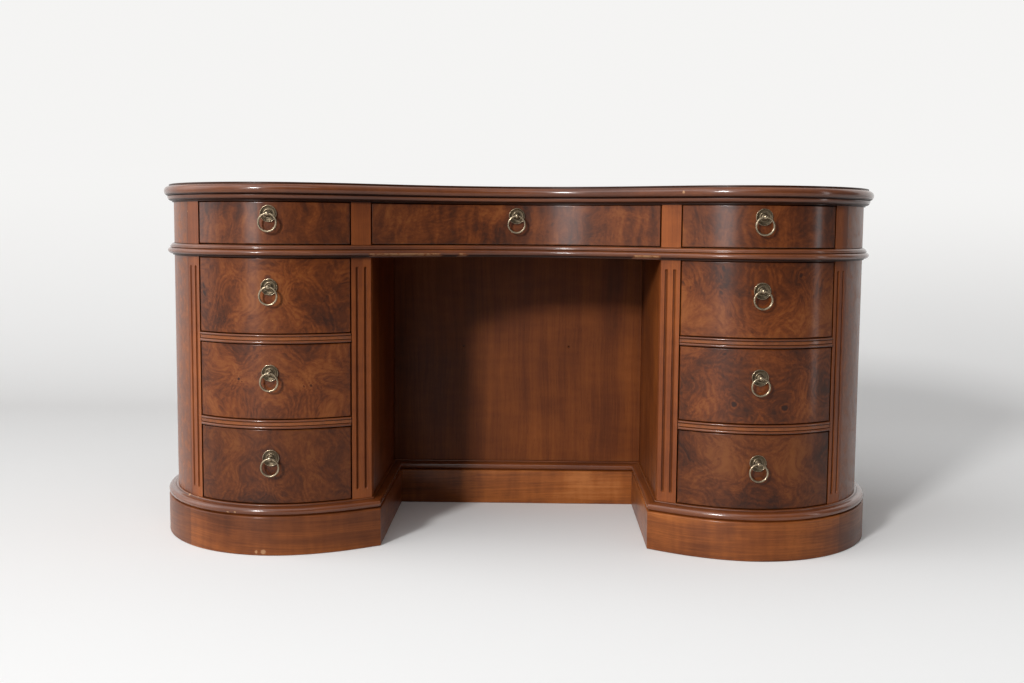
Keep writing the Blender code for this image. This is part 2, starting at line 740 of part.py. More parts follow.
def make_pull(name, seat, inside):
    """A turned pull about an axis along -Y: inside nut, post, rosette, neck and pierced ball."""
    nut_face = -(inside + FIT_GAP)
    turned = [(0, nut_face - NUT_THICKNESS), (NUT_RADIUS, nut_face - NUT_THICKNESS)]
    turned += [(NUT_RADIUS, nut_face), (POST_RADIUS, nut_face), (POST_RADIUS, 0)]
    turned += [(out * ROSETTE_RADIUS, up * ROSETTE_HEIGHT) for out, up in ROSETTE_SHARES]
    join = math.asin(NECK_RADIUS / BALL_RADIUS)
    turned.append((NECK_RADIUS, ROSETTE_HEIGHT))
    for step in range(BALL_STEPS):
        angle = join + (math.pi - join) * step / BALL_STEPS
        turned.append(
            (BALL_RADIUS * math.sin(angle), BALL_STAND_OFF - BALL_RADIUS * math.cos(angle))
        )
    turned.append((0, BALL_STAND_OFF + BALL_RADIUS))
    built = bmesh.new()
    line = [built.verts.new((radius, -along, 0)) for radius, along in turned]
    edges = [built.edges.new(pair) for pair in zip(line, line[1:])]
    bmesh.ops.spin(
        built, geom=line + edges, axis=(0, 1, 0), cent=(0, 0, 0), angle=2 * math.pi,
        steps=PULL_SIDES, use_merge=True,
    )
    bmesh.ops.remove_doubles(built, verts=built.verts, dist=MERGE_DISTANCE)
    made = finish_mesh(name, built, BRASS)
    made.location = seat
    eye = seat - Vector((0, BALL_STAND_OFF, 0))
    reach = Vector((BALL_RADIUS + CUT_OVERRUN, 0, 0))
    hole = cylinder(f"cut_{name}", eye - reach, eye + reach, BALL_HOLE_RADIUS, HOLE_SIDES)
    combine(made, hole, "DIFFERENCE")
    return made


def make_ring(name, pivot):
    """A round-wire ring hanging from its pivot, in the plane of the drawer front."""
    built = bmesh.new()
    rows = []
    for turn in range(RING_FACETS):
        around = 2 * math.pi * turn / RING_FACETS
        row = []
        for corner in range(WIRE_SIDES):
            angle = 2 * math.pi * corner / WIRE_SIDES
            radius = RING_RADIUS + RING_WIRE_RADIUS * math.cos(angle)
            point = (
                radius * math.sin(around),
                RING_WIRE_RADIUS * math.sin(angle),
                radius * math.cos(around) - RING_RADIUS,
            )
            row.append(built.verts.new(point))
        rows.append(row)
    for one, two in zip(rows, rows[1:] + rows[:1]):
        for here in range(WIRE_SIDES):
            after = (here + 1) % WIRE_SIDES
            built.faces.new((one[here], one[after], two[after], two[here]))
    made = finish_mesh(name, built, BRASS)
    made.location = pivot
    return made


def make_drawers():
    """The three drawers of each pedestal, then the three in the frieze."""
    inner = BAY_INNER + DRAWER_REVEAL
    outer = BAY_OUTER - DRAWER_REVEAL
    pull_x = (BAY_INNER + BAY_OUTER) / 2

    def side_run(offset):
        return front_run(inner, outer, offset, FRONT_FACETS)

    def centre_front(offset):
        return centre_run(KNEEHOLE_HALF - DRAWER_REVEAL, offset, CENTRE_FRONT_FACETS)

    for name, side in SIDES.items():
        x_range = sorted((side * inner, side * outer))
        for level in range(DRAWERS_PER_PEDESTAL):
            bottom = PLINTH_TOP + level * (BAY_HEIGHT + RAIL_HEIGHT)
            make_drawer(
                f"{name}_{DRAWERS_PER_PEDESTAL - level}", side_run, side, x_range, side * pull_x,
                (bottom, bottom + BAY_HEIGHT), box_back(), BOX_HEADROOM,
            )
        make_drawer(
            f"frieze_{name}", side_run, side, x_range, side * pull_x, (WAIST_TOP, FRIEZE_TOP),
            box_back(), FRIEZE_BOX_HEADROOM,
        )
    half = KNEEHOLE_HALF - DRAWER_REVEAL
    back = LINE(LINE_LENGTH / 2)[0][0, 1] - SHELL_THICKNESS - CENTRE_BOX_BACK_SPACE
    make_drawer(
        "frieze_centre", centre_front, SIDES["right"], (-half, half), 0.0, (WAIST_TOP, FRIEZE_TOP),
        back, FRIEZE_BOX_HEADROOM,
    )


for existing in list(bpy.data.objects):
    bpy.data.objects.remove(existing)

WALNUT = material("walnut", (0.16, 0.055, 0.028), 0.35)
WALNUT_BURR = material("walnut_burr", (0.20, 0.072, 0.032), 0.32)
WALNUT_LIGHT = material("walnut_straight_grain", (0.21, 0.085, 0.042), 0.38)
WALNUT_PLAIN = material("walnut_inside", (0.24, 0.12, 0.065), 0.6)
OAK = material("drawer_lining", (0.45, 0.30, 0.16), 0.6)
WOOD_INSIDE = material("cutter", (0.3, 0.2, 0.1), 0.6)
BRASS = material("antique_brass", (0.36, 0.31, 0.22), 0.38, 1.0)

make_top()
make_under_moulding()
make_waist()
make_frieze()
make_pilasters()
make_case_shell()
make_kneehole()
make_rails()
make_base()
make_drawers()
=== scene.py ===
"""The looks of a kidney shaped kneehole desk: walnut mouldings, burr drawer fronts and brass pulls.

Metres, +Z up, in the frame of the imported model. Every moulding follows one case line, a closed
spline, at its own offset from that line. Wood grain runs on a UV map called Grain, in metres, whose
first axis lies along the grain.
"""

import math
from functools import lru_cache

import bmesh
import bpy
import numpy as np
from bpy.props import FloatProperty, FloatVectorProperty, PointerProperty
from mathutils import Matrix, Vector


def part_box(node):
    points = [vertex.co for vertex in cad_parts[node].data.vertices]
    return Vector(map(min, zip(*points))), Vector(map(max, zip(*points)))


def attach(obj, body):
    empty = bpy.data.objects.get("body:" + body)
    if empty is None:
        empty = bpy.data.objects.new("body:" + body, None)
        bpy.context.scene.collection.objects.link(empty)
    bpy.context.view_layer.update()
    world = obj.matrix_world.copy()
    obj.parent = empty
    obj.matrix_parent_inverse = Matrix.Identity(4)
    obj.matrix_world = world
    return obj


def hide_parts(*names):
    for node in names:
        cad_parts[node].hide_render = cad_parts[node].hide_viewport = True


bl_info = {
    "name": "Kidney Desk",
    "version": (1, 0, 0),
    "blender": (4, 5, 0),
    "location": "View3D > Sidebar > Desk",
    "description": "Dresses a kidney shaped kneehole desk in polished walnut and brass",
    "category": "Add Mesh",
}

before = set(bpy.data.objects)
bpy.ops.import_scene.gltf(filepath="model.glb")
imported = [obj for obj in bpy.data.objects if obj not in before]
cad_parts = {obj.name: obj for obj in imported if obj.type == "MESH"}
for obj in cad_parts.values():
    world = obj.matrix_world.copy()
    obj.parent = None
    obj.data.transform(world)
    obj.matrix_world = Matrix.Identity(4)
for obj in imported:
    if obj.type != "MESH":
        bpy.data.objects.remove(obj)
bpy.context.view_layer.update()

# Sizes of the case
CASE_HALF_WIDTH = 0.767
CASE_DEPTH = 0.746
SHELL_THICKNESS = 0.018
PILASTER_THICKNESS = 0.024
OUTER_PILASTER_ARC = 0.044
PLINTH_LEDGE = 0.005
WAIST_LEDGE = 0.004
FIT_GAP = 0.0003
BEHIND_PILASTERS = round(-(PILASTER_THICKNESS + 2 * FIT_GAP), 6)
PLINTH_CORNER = 0.012
WALL_ARRIS = 0.0004
UPRIGHT_ARRIS = 0.0005
BOARD_ARRIS = 0.0006

# Sizes of the drawer fronts, rails, flutes and small details
FRONT_RECESS = 0.001
FRONT_THICKNESS = 0.020
DRAWER_REVEAL = 0.0012
FRONT_SHRINKAGE = 0.0005
SIDE_SHRINKAGE = 0.0013
RAIL_END_GAP = 0.0012
DUST_BOARD_THICKNESS = 0.009
DUST_BOARD_INSET = 0.003
FLUTE_PITCH = 0.0192
FLUTE_END_MARGIN = 0.019
SCREW_HOLES = (-0.1313, 0.1245)
SCREW_HOLE_HEIGHT = 0.3852
SCREW_HOLE_RADIUS = 0.0026
SCREW_HOLE_DEPTH = 0.008
DRILL_RUN_IN = 0.001

# Sizes of the pulls
BALL_STAND_OFF = 0.0135
BALL_RADIUS = 0.0052
BALL_HOLE_RADIUS = 0.0031
POST_RADIUS = 0.003
NUT_RADIUS = 0.008
NUT_THICKNESS = 0.004
RING_RADIUS = 0.018
RING_WIRE_BOX = 0.0018

# Places read from the frame
TOP_LOW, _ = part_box("top_board")
UNDER_LOW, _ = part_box("under_moulding")
WAIST_LOW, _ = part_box("waist_moulding")
BAND_LOW, BAND_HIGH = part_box("frieze_band")
SHELL_LOW, SHELL_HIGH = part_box("case_shell")
CAP_LOW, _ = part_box("plinth_cap")
PLINTH_LOW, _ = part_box("plinth_board")
PANEL_LOW, PANEL_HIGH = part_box("modesty_panel")
KNEEHOLE_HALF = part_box("inner_pilaster_right")[0].x
BAY_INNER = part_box("inner_pilaster_right")[1].x
BAY_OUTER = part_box("drawer_front_right_1")[1].x + DRAWER_REVEAL
SIDES = {"left": -1, "right": 1}
PEDESTAL_DRAWERS = tuple(f"{side}_{level}" for side in SIDES for level in (1, 2, 3))
FRIEZE_DRAWERS = ("frieze_left", "frieze_centre", "frieze_right")
DRAWERS = PEDESTAL_DRAWERS + FRIEZE_DRAWERS
# The lowest drawers, whose burr is painted darker as shade towards the floor
SHADED_LOW_DRAWERS = ("left_3", "right_3")

# The case line on its right half, from the front centre round to the back centre, as shares of the
# case's half width and, from the front backwards, of its depth
CASE_LINE_SHARES = (
    (0.0, 0.2635), (0.198, 0.2253), (0.3795, 0.1203), (0.455, 0.067), (0.530, 0.0276),
    (0.642, 0.0003), (0.770, 0.0248), (0.9205, 0.1558), (0.999, 0.3985), (0.935, 0.678),
    (0.754, 0.872), (0.440, 0.9755), (0.0, 1.0),
)

# Fineness of the meshes
PATH_STEP = 0.007
BOARD_PATH_STEP = 0.03
FRONT_COLUMN_STEP = 0.006
FRONT_ROW_STEP = 0.03
UPRIGHT_COLUMN_STEP = 0.005
RAIL_COLUMNS = 48
FLUTE_ROWS = 14
SAMPLES = 2000
FITTING_ROUNDS = 3
BISECTIONS = 50
ARC_STEP = math.radians(12)
EASED_TURNS = np.radians([90, 67, 45, 22, 0])
HOLLOW_TURNS = np.radians([-90, -78, -60, -40, -20, 0, 20, 40, 60, 78, 90])
SHARP_ANGLE = math.radians(34)
TURNED_SIDES = 56
DRILL_SIDES = 32
SCREW_HOLE_SIDES = 16
RING_SIDES = 72
WIRE_SIDES = 14
UNROLLED_RADIUS = 0.01
MERGE_DISTANCE = 0.00001
SEED = 7
LARGEST_SHIFT = 9

# Wear, from 1 on a rubbed arris to -1 in a quirk darkened with grime and painted shade; past 1 the wood
# is bare
GRIMY_AND_SHADED = -0.9
# How far the flutes are darkened with grime and painted shade, most at their bottoms
FLUTE_GRIME_AND_SHADE = 0.45
RING_WEAR = 0.4
BARE = 1.98
BARE_SPANS = ((-0.302, -0.160), (-0.125, -0.108), (0.245, 0.300))
BARE_HEIGHTS = (0.0015, 0.0085)
BARE_WOOD = (0.50, 0.27, 0.13)

# Heights above its foot between which a moulding stays clean, free of grime and painted shade
TOP_CLEAN_UNSHADED = (0.0030, 0.0212)
UNDER_CLEAN_UNSHADED = (0.0052, 0.0119)
WAIST_CLEAN_UNSHADED = (0.0044, 0.0252)

# Small chips: x, distance out from the case line, height and radius
CHIPPED = ("moulding", "plinth", "cap", "case", "pilaster")
CHIPS = (
    (-0.588, 0.020, 0.0850, 0.0040), (-0.572, 0.020, 0.0872, 0.0034), (-0.527, 0.020, 0.0072, 0.0040),
    (-0.512, 0.020, 0.0073, 0.0066), (-0.693, 0.004, 0.1000, 0.0046), (-0.668, 0.004, 0.1040, 0.0040),
    (-0.688, 0.000, 0.7034, 0.0018), (-0.657, 0.000, 0.7052, 0.0016), (0.340, 0.020, 0.7485, 0.0036),
)

# Where the curved ends of the plinth are joined on, and how far the figure drifts across the leaves
PLINTH_JOINT = 0.682
JOINT_WIDTH = 0.0007
LEAF_DRIFT = 0.075

# Finishes of straight grained walnut: the share of the walnut's own colours, then what sets each apart
STRAIGHT_FINISHES = {
    "moulding": (1.0, {"contrast": 0.85, "gloss": 0.15, "coat": 0.85}),
    "rail": (1.0, {"contrast": 0.5, "gloss": 0.14, "coat": 0.8}),
    "case": (1.12, {"contrast": 0.45, "stripe": 0.7, "gloss": 0.24, "coat": 0.6, "ripple_share": 0.12}),
    "pilaster": (1.55, {"contrast": 0.7, "stripe": 1.2, "gloss": 0.24, "coat": 0.35}),
    "panel": (1.0, {"contrast": 0.8, "stripe": 0.8, "gloss": 0.2, "coat": 0.1}),
    "cap": (1.12, {"contrast": 0.7, "gloss": 0.16, "coat": 1.0}),
    "plinth": ((1.62, 1.76, 1.76), {"contrast": 1.4, "stripe": 0.5, "gloss": 0.18, "coat": 0.3}),
    "inside": (1.0, {"contrast": 0.8, "gloss": 0.4, "coat": 0.0, "turn": (0, 0, 0)}),
}

# Finishes of burr and figured walnut, in the same way
BURR_FINISHES = {
    "burr": (1.0, {"contrast": 1.12, "knots": 1.3, "coat": 0.30}),
    # The lowest drawers' burr, darker as painted shade
    "low_burr": (0.72, {"contrast": 1.12, "knots": 1.3, "coat": 0.28}),
    "figured": (0.92, {"contrast": 0.85, "curl": 0.6, "knots": 0.3, "streak": 0.42, "coat": 0.60}),
}
POLISH = {"IOR": 1.5, "Specular IOR Level": 0.13, "Coat IOR": 1.5}
GRAIN_ALONG_Y = (0, 0, math.pi / 2)

# The stage: the floor with its cove, the lamps and the camera
FLOOR_REACH = 7.0
FLOOR_DROP = 0.0006
COVE_START = 1.6
COVE_RADIUS = 1.2
BACKDROP_HEIGHT = 5.0
FLOOR_BOUNCE = (0.11, 0.072, 0.05)
LAMPS = {
    "key": ((-3.355, -6.641, 3.38), (0.0, -0.2, 0.42), (0.9, 0.9), 402.0),
    "overhead": ((-0.5, -1.35, 2.3), (0.0, -0.3, 0.5), (2.6, 0.45), 8.0),
    "strip": ((2.55, -0.95, 0.85), (0.2, -0.2, 0.45), (0.25, 1.7), 4.0),
}
SKY_COLOUR = (0.97, 0.985, 1.0, 1.0)
BROAD_WAY = (-0.90, -0.42, 0.14)
PATCH_WAY = (-0.955, 0.05, 0.29)
KEY_WAY = (-0.485, -0.872, 0.07)
CAMERA_PLACE = (0.0377, -2.8335, 0.6761)
CAMERA_YAW = math.radians(-0.996)
CAMERA_PITCH = math.radians(5.384)
CAMERA_ROLL = math.radians(0.444)
CAMERA_LENS = 42.86


# The case line

def closed_spline(points):
    """A closed cubic through the points, smooth in slope and in curvature."""
    count = len(points)
    steps = np.linalg.norm(np.roll(points, -1, axis=0) - points, axis=1)
    matrix = np.zeros((count, count))
    load = np.zeros((count, 2))
    for here in range(count):
        before = here - 1
        after = (here + 1) % count
        matrix[here, before] += steps[before] / 6
        matrix[here, here] += (steps[before] + steps[here]) / 3
        matrix[here, after] += steps[here] / 6
        ahead = (points[after] - points[here]) / steps[here]
        behind = (points[here] - points[before]) / steps[before]
        load[here] = ahead - behind
    bends = np.linalg.solve(matrix, load)
    knots = np.concatenate([[0], np.cumsum(steps)])

    def at(place):
        place = np.mod(np.atleast_1d(place), knots[-1])
        one = np.clip(np.searchsorted(knots, place, side="right") - 1, 0, count - 1)
        two = (one + 1) % count
        step = steps[one][:, None]
        gone = (place - knots[one])[:, None]
        left = step - gone
        base_one = points[one] / step - bends[one] * step / 6
        base_two = points[two] / step - bends[two] * step / 6
        point = (bends[one] * left**3 + bends[two] * gone**3) / (6 * step)
        point += base_one * left + base_two * gone
        slope = (bends[two] * gone**2 - bends[one] * left**2) / (2 * step) - base_one + base_two
        return point, slope / np.linalg.norm(slope, axis=1)[:, None]

    return at, knots[-1]


def case_line():
    """The case line fitted to the case's real width and depth."""
    right = [(x * CASE_HALF_WIDTH, y * CASE_DEPTH) for x, y in CASE_LINE_SHARES]
    left = [(-x, y) for x, y in right[-2:0:-1]]
    points = np.array(right + left)
    for _ in range(FITTING_ROUNDS):
        at, length = closed_spline(points)
        reached, _ = at(np.linspace(0, length, SAMPLES))
        points[:, 0] *= CASE_HALF_WIDTH / reached[:, 0].max()
        points[:, 1] -= reached[:, 1].min()
        points[:, 1] *= CASE_DEPTH / np.ptp(reached[:, 1])
    points[:, 1] -= CASE_DEPTH / 2
    return closed_spline(points)


LINE, LINE_LENGTH = case_line()
HALF_LENGTH = LINE_LENGTH / 2


def rim(place, offset):
    """Points at an offset outwards from the case line, at distances along it from the front centre."""
    points, tangents = LINE(place)
    normals = np.stack([tangents[:, 1], -tangents[:, 0]], axis=1)
    return points + normals * np.reshape(offset, (-1, 1))


@lru_cache(maxsize=None)
def place_at_x(x, offset):
    """Where the offset line passes a given x on the right half of the front."""
    low = 0.0
    high = HALF_LENGTH / 2
    for _ in range(BISECTIONS):
        middle = (low + high) / 2
        if rim(middle, offset)[0, 0] < x:
            low = middle
        else:
            high = middle
    return (low + high) / 2


def front_y(x, offset):
    """The y of the offset front line at x."""
    return rim(place_at_x(abs(x), offset), offset)[0, 1]


PILASTER_END = place_at_x(BAY_OUTER, 0.0) + OUTER_PILASTER_ARC


def steps_between(start, end, step=PATH_STEP):
    """Evenly spaced values from start to end, no further apart than a step."""
    return np.linspace(start, end, max(2, math.ceil(abs(end - start) / step) + 1))


# Profiles, as distances out from the case line and up from the moulding's foot

def arc(middle, radii, start, end):
    """Points round an elliptical arc, in degrees anticlockwise from straight out."""
    low = math.radians(start)
    high = math.radians(end)
    turns = np.linspace(low, high, max(3, math.ceil(abs(high - low) / ARC_STEP) + 1))
    return [(middle[0] + radii[0] * math.cos(t), middle[1] + radii[1] * math.sin(t)) for t in turns]


def top_edge_profile():
    """Up the edge of the top: thumb bead, quirk and thin raised edge."""
    bead = arc((0.0105, 0.0106), (0.0100, 0.0104), -84, 84)
    lip = arc((0.0088, 0.0240), (0.0011, 0.0010), 0, 90)
    return [(-0.030, 0.0), (0.0092, 0.0)] + bead + [(0.0099, 0.0206), (0.0099, 0.0214)] + lip


def under_moulding_profile():
    """A fillet with an ovolo that spreads above it."""
    ovolo = arc((0.0046, 0.0116), (0.0087, 0.0091), -90, 0)
    inner = -SHELL_THICKNESS
    return [(inner, 0.0), (0.0034, 0.0), (0.0034, 0.0021)] + ovolo + [(0.0133, 0.0127), (inner, 0.0127)]


def waist_profile():
    """A torus under a quirk, a small bead and an ovolo that dies into the frieze."""
    torus = arc((0.0042, 0.0094), (0.0098, 0.0068), -82, 68)
    bead = arc((0.0078, 0.0179), (0.0014, 0.0015), -70, 60)
    ovolo = arc((0.0, 0.0196), (0.0074, 0.0058), 2, 90)
    foot = [(-WAIST_LEDGE, 0.0), (0.0034, 0.0), (0.0036, 0.0026)]
    quirk = [(0.0074, 0.0163)]
    fillet = [(0.0072, 0.0192)]
    return foot + torus + quirk + bead + fillet + ovolo + [(-WAIST_LEDGE, 0.0254)]


def plinth_cap_profile():
    """A full torus, a hollow slope above it and a small bead against the case."""
    torus = arc((0.0112, 0.0087), (0.0093, 0.0085), -64, 70)
    slope = [(0.0128, 0.0168), (0.0100, 0.0170), (0.0072, 0.0175), (0.0050, 0.0184)]
    bead = arc((0.0026, 0.0189), (0.0018, 0.0017), 10, 95)
    return [(0.0, 0.0), (0.0142, 0.0)] + torus + slope + bead + [(0.0, 0.0206)]


def plinth_board_profile():
    """A plain board with a rounded top edge."""
    foot = arc((0.0192, 0.0008), (0.0008, 0.0008), -90, 0)
    edge = arc((0.0165, 0.0772), (0.0035, 0.0034), 0, 84)
    return [(-PLINTH_LEDGE, 0.0)] + foot + edge + [(0.0155, 0.0809), (-PLINTH_LEDGE, 0.0809)]


def rail_profile():
    """Two beads with a flat between them; the lower bead is the fuller one."""
    back = BEHIND_PILASTERS + FIT_GAP
    low = arc((0.0, 0.0030), (0.0030, 0.0028), -80, 70)
    high = arc((0.0, 0.0166), (0.0024, 0.0022), -60, 80)
    flat = [(-0.0016, 0.0062), (-0.0016, 0.0068), (0.0, 0.0073), (0.0, 0.0132), (-0.0014, 0.0138)]
    return [(back, 0.0)] + low + flat + high + [(back, 0.0190)]


def wall_profile(thickness, height):
    """A plain wall with its outer face on the case line."""
    ease = WALL_ARRIS
    face = [(-ease, 0.0), (0.0, ease), (0.0, height - ease), (-ease, height)]
    return [(-thickness, 0.0)] + face + [(-thickness, height)]


def run_lengths(points):
    """The distance run along a line of points, at each of them."""
    steps = np.linalg.norm(np.diff(np.array(points), axis=0), axis=1)
    return np.concatenate([[0], np.cumsum(steps)])


def convexity(profile):
    """How sharply a profile turns at each point: 1 at a rubbed arris, -1 in a quirk darkened with grime
    and painted shade.
    """
    points = np.array(profile)
    before = points - np.roll(points, 1, axis=0)
    after = np.roll(points, -1, axis=0) - points
    turn = before[:, 0] * after[:, 1] - before[:, 1] * after[:, 0]
    size = np.linalg.norm(before, axis=1) * np.linalg.norm(after, axis=1)
    return np.clip(turn / np.maximum(size, 1e-12), -1, 1)


# Meshes

random = np.random.default_rng(SEED)


def linked(name, data):
    """A new object in the scene."""
    made = bpy.data.objects.new(name, data)
    bpy.context.scene.collection.objects.link(made)
    return made


def add_object(name, mesh):
    """A finished piece from a mesh, smooth where it curves."""
    mesh.shade_smooth()
    mesh.set_sharp_from_angle(angle=SHARP_ANGLE)
    return linked(name, mesh)


def evaluated_mesh(made):
    """What an object's modifiers make of it, as a plain mesh."""
    graph = bpy.context.evaluated_depsgraph_get()
    return bpy.data.meshes.new_from_object(made.evaluated_get(graph), depsgraph=graph)


def settle(made, *nodes, body="root", slot="walnut"):
    """Say which body a piece rides on and which solids it stands for; slot is not used."""
    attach(made, body)
    if nodes:
        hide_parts(*nodes)
    return made


def dress(node, material):
    """Give a solid of the frame that is shown as it is its finish."""
    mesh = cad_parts[node].data
    mesh.materials.clear()
    mesh.materials.append(material)


def face_outwards(mesh):
    """Merge what touches and turn every face outwards."""
    built = bmesh.new()
    built.from_mesh(mesh)
    bmesh.ops.remove_doubles(built, verts=built.verts, dist=MERGE_DISTANCE)
    bmesh.ops.recalc_face_normals(built, faces=built.faces)
    built.to_mesh(mesh)
    built.free()


def grid_faces(rows, columns, start):
    """Corner numbers of the quads of a grid."""
    corners = start + np.arange(rows * columns).reshape(rows, columns)
    quads = np.stack([corners[:-1, :-1], corners[:-1, 1:], corners[1:, 1:], corners[1:, :-1]], axis=-1)
    return quads.reshape(-1, 4).tolist()


def mesh_from_grids(name, grids, finishes, fills=()):
    """A closed mesh from grids of (points, uv, worn, finish number) and flat (points, uv, number)."""
    points = []
    uvs = []
    worn = []
    faces = []
    numbers = []
    start = 0
    for places, uv, wear, number in grids:
        rows, columns = places.shape[:2]
        points.append(places.reshape(-1, 3))
        uvs.append(uv.reshape(-1, 2))
        worn.append(np.broadcast_to(wear, (rows, columns)).reshape(-1))
        quads = grid_faces(rows, columns, start)
        faces.extend(quads)
        numbers.extend([number] * len(quads))
        start += rows * columns
    for places, uv, number in fills:
        points.append(places)
        uvs.append(uv)
        worn.append(np.zeros(len(places)))
        faces.append(list(range(start, start + len(places))))
        numbers.append(number)
        start += len(places)
    mesh = bpy.data.meshes.new(name)
    mesh.from_pydata(np.concatenate(points).tolist(), [], faces)
    mesh.polygons.foreach_set("material_index", numbers)
    set_grain(mesh, np.concatenate(uvs)[corner_points(mesh)])
    set_worn(mesh, np.concatenate(worn))
    face_outwards(mesh)
    for finish_used in finishes:
        mesh.materials.append(finish_used)
    return add_object(name, mesh)


def corner_points(mesh):
    """Which point each corner of a mesh's faces stands on."""
    corners = np.zeros(len(mesh.loops), dtype=np.int32)
    mesh.loops.foreach_get("vertex_index", corners)
    return corners


def set_grain(mesh, uv):
    """Give a mesh its Grain map, with a place on the grain for each corner of its faces."""
    layer = mesh.uv_layers.new(name="Grain")
    layer.data.foreach_set("uv", uv.astype(np.float32).reshape(-1))


def set_worn(mesh, wear):
    """Keep how rubbed a mesh is, or how darkened with grime and painted shade, at each of its points or
    all over.
    """
    layer = mesh.attributes.get("worn") or mesh.attributes.new("worn", "FLOAT", "POINT")
    layer.data.foreach_set("value", np.broadcast_to(wear, len(mesh.vertices)).astype(np.float32))


def grain_map(along, across, upright=False):
    """Grain coordinates for a grid whose columns run along and whose rows run across."""
    shift = random.uniform(0, LARGEST_SHIFT, 2)
    first, second = np.meshgrid(along, across)
    if upright:
        first, second = second, first
    return np.stack([first + shift[0], second + shift[1]], axis=-1)


def ring_grid(profile, path, height):
    """The points of a profile carried along a path, given as a function of the offset."""
    rows = np.stack([path(offset) for offset, _ in profile])
    heights = np.array([up for _, up in profile]) + height
    heights = np.broadcast_to(heights[:, None, None], rows.shape[:2] + (1,))
    return np.concatenate([rows, heights], axis=-1)


def swept(name, path, profile, height, material, upright=False, ends=False):
    """A closed moulding from a profile carried along a path."""
    places = ring_grid(list(profile) + [profile[0]], path, height)
    worn = convexity(profile)
    worn = np.append(worn, worn[0])[:, None]
    around = run_lengths(list(profile) + [profile[0]])
    along = run_lengths(places[len(profile) // 2])
    uv = grain_map(along, around, upright)
    fills = []
    if ends:
        fills = [(places[:-1, end], uv[:-1, end], 0) for end in (0, -1)]
    return mesh_from_grids(name, [(places, uv, worn, 0)], [material], fills)


def board_grain(mesh, grain):
    """The Grain map of a flat-sided board whose grain runs in one direction."""
    along = Vector(grain).normalized()
    shift = random.uniform(0, LARGEST_SHIFT, 2)
    layer = mesh.uv_layers.new(name="Grain")
    for face in mesh.polygons:
        normal = face.normal
        first = along
        if abs(normal.dot(along)) > 0.9:
            first = Vector((along.y, along.z, along.x))
        second = normal.cross(first).normalized()
        for corner in face.loop_indices:
            point = mesh.vertices[mesh.loops[corner].vertex_index].co
            layer.data[corner].uv = (point.dot(first) + shift[0], point.dot(second) + shift[1])


def board(name, outline, low, high, grain, material):
    """A board of any plan between two heights, with its arrises eased."""
    built = bmesh.new()
    bottom = [built.verts.new((x, y, low)) for x, y in outline]
    top = [built.verts.new((x, y, high)) for x, y in outline]
    built.faces.new(bottom[::-1])
    built.faces.new(top)
    for here in range(len(outline)):
        after = (here + 1) % len(outline)
        built.faces.new((bottom[here], bottom[after], top[after], top[here]))
    bmesh.ops.recalc_face_normals(built, faces=built.faces)
    sharp = [edge for edge in built.edges if edge.calc_face_angle() > SHARP_ANGLE]
    bmesh.ops.bevel(built, geom=sharp, offset=BOARD_ARRIS, segments=1, affect="EDGES", profile=0.5)
    mesh = bpy.data.meshes.new(name)
    built.to_mesh(mesh)
    built.free()
    board_grain(mesh, grain)
    set_worn(mesh, 0.0)
    mesh.materials.append(material)
    return add_object(name, mesh)


def rectangle(low_x, high_x, low_y, high_y):
    """The plan of a rectangular board."""
    return [(low_x, low_y), (high_x, low_y), (high_x, high_y), (low_x, high_y)]


def mirrored(outline, side):
    """A plan on the right or, with side -1, on the left."""
    return [(side * x, y) for x, y in outline]


# Paths in plan

def whole_path(offset):
    """The whole kidney outline at an offset, from the middle of the back round to it again."""
    return rim(steps_between(HALF_LENGTH, HALF_LENGTH + LINE_LENGTH), offset)


def part_path(start, end):
    """The case line from one place on it to another, at any offset."""
    places = steps_between(start, end)
    return lambda offset: rim(places, offset)


def front_path(x_start, x_end, side, count):
    """The front between two planes of constant x, at any offset."""
    shares = np.linspace(0, 1, count)

    def path(offset):
        start = place_at_x(x_start, round(offset, 6))
        end = place_at_x(x_end, round(offset, 6))
        return rim(start + shares * (end - start), offset) * (side, 1)

    return path


def notched_path(offset):
    """The outline of the pedestals and back, with the kneehole let into the front."""
    half = KNEEHOLE_HALF - offset
    corner = place_at_x(half, round(offset, 6))
    start = place_at_x(KNEEHOLE_HALF, 0.0) + PLINTH_CORNER
    right = rim(np.concatenate([[corner], steps_between(start, HALF_LENGTH)]), offset)
    left = right[::-1] * (-1, 1)
    back = PANEL_LOW.y - offset
    return np.concatenate([[(half, back)], right, left[1:], [(-half, back), (half, back)]])


# Worked faces

def eased_stations(length, ease, step):
    """Distances across a face that bunch up over its rounded edges."""
    near = ease * np.append(1 - np.sin(EASED_TURNS), 1.3)
    middle = steps_between(near[-1], length - near[-1], step)[1:-1]
    return np.concatenate([near, middle, length - near[::-1]])


def eased_drop(across, up, ease, ends=True):
    """How far a face with rounded edges, and ends where asked, lies behind its plane."""
    from_side = np.maximum(0, ease - np.minimum(across, across[-1] - across))[None, :]
    from_end = np.maximum(0, ease - np.minimum(up, up[-1] - up))[:, None] * ends
    return ease - np.sqrt(np.maximum(0, ease**2 - from_side**2 - from_end**2))


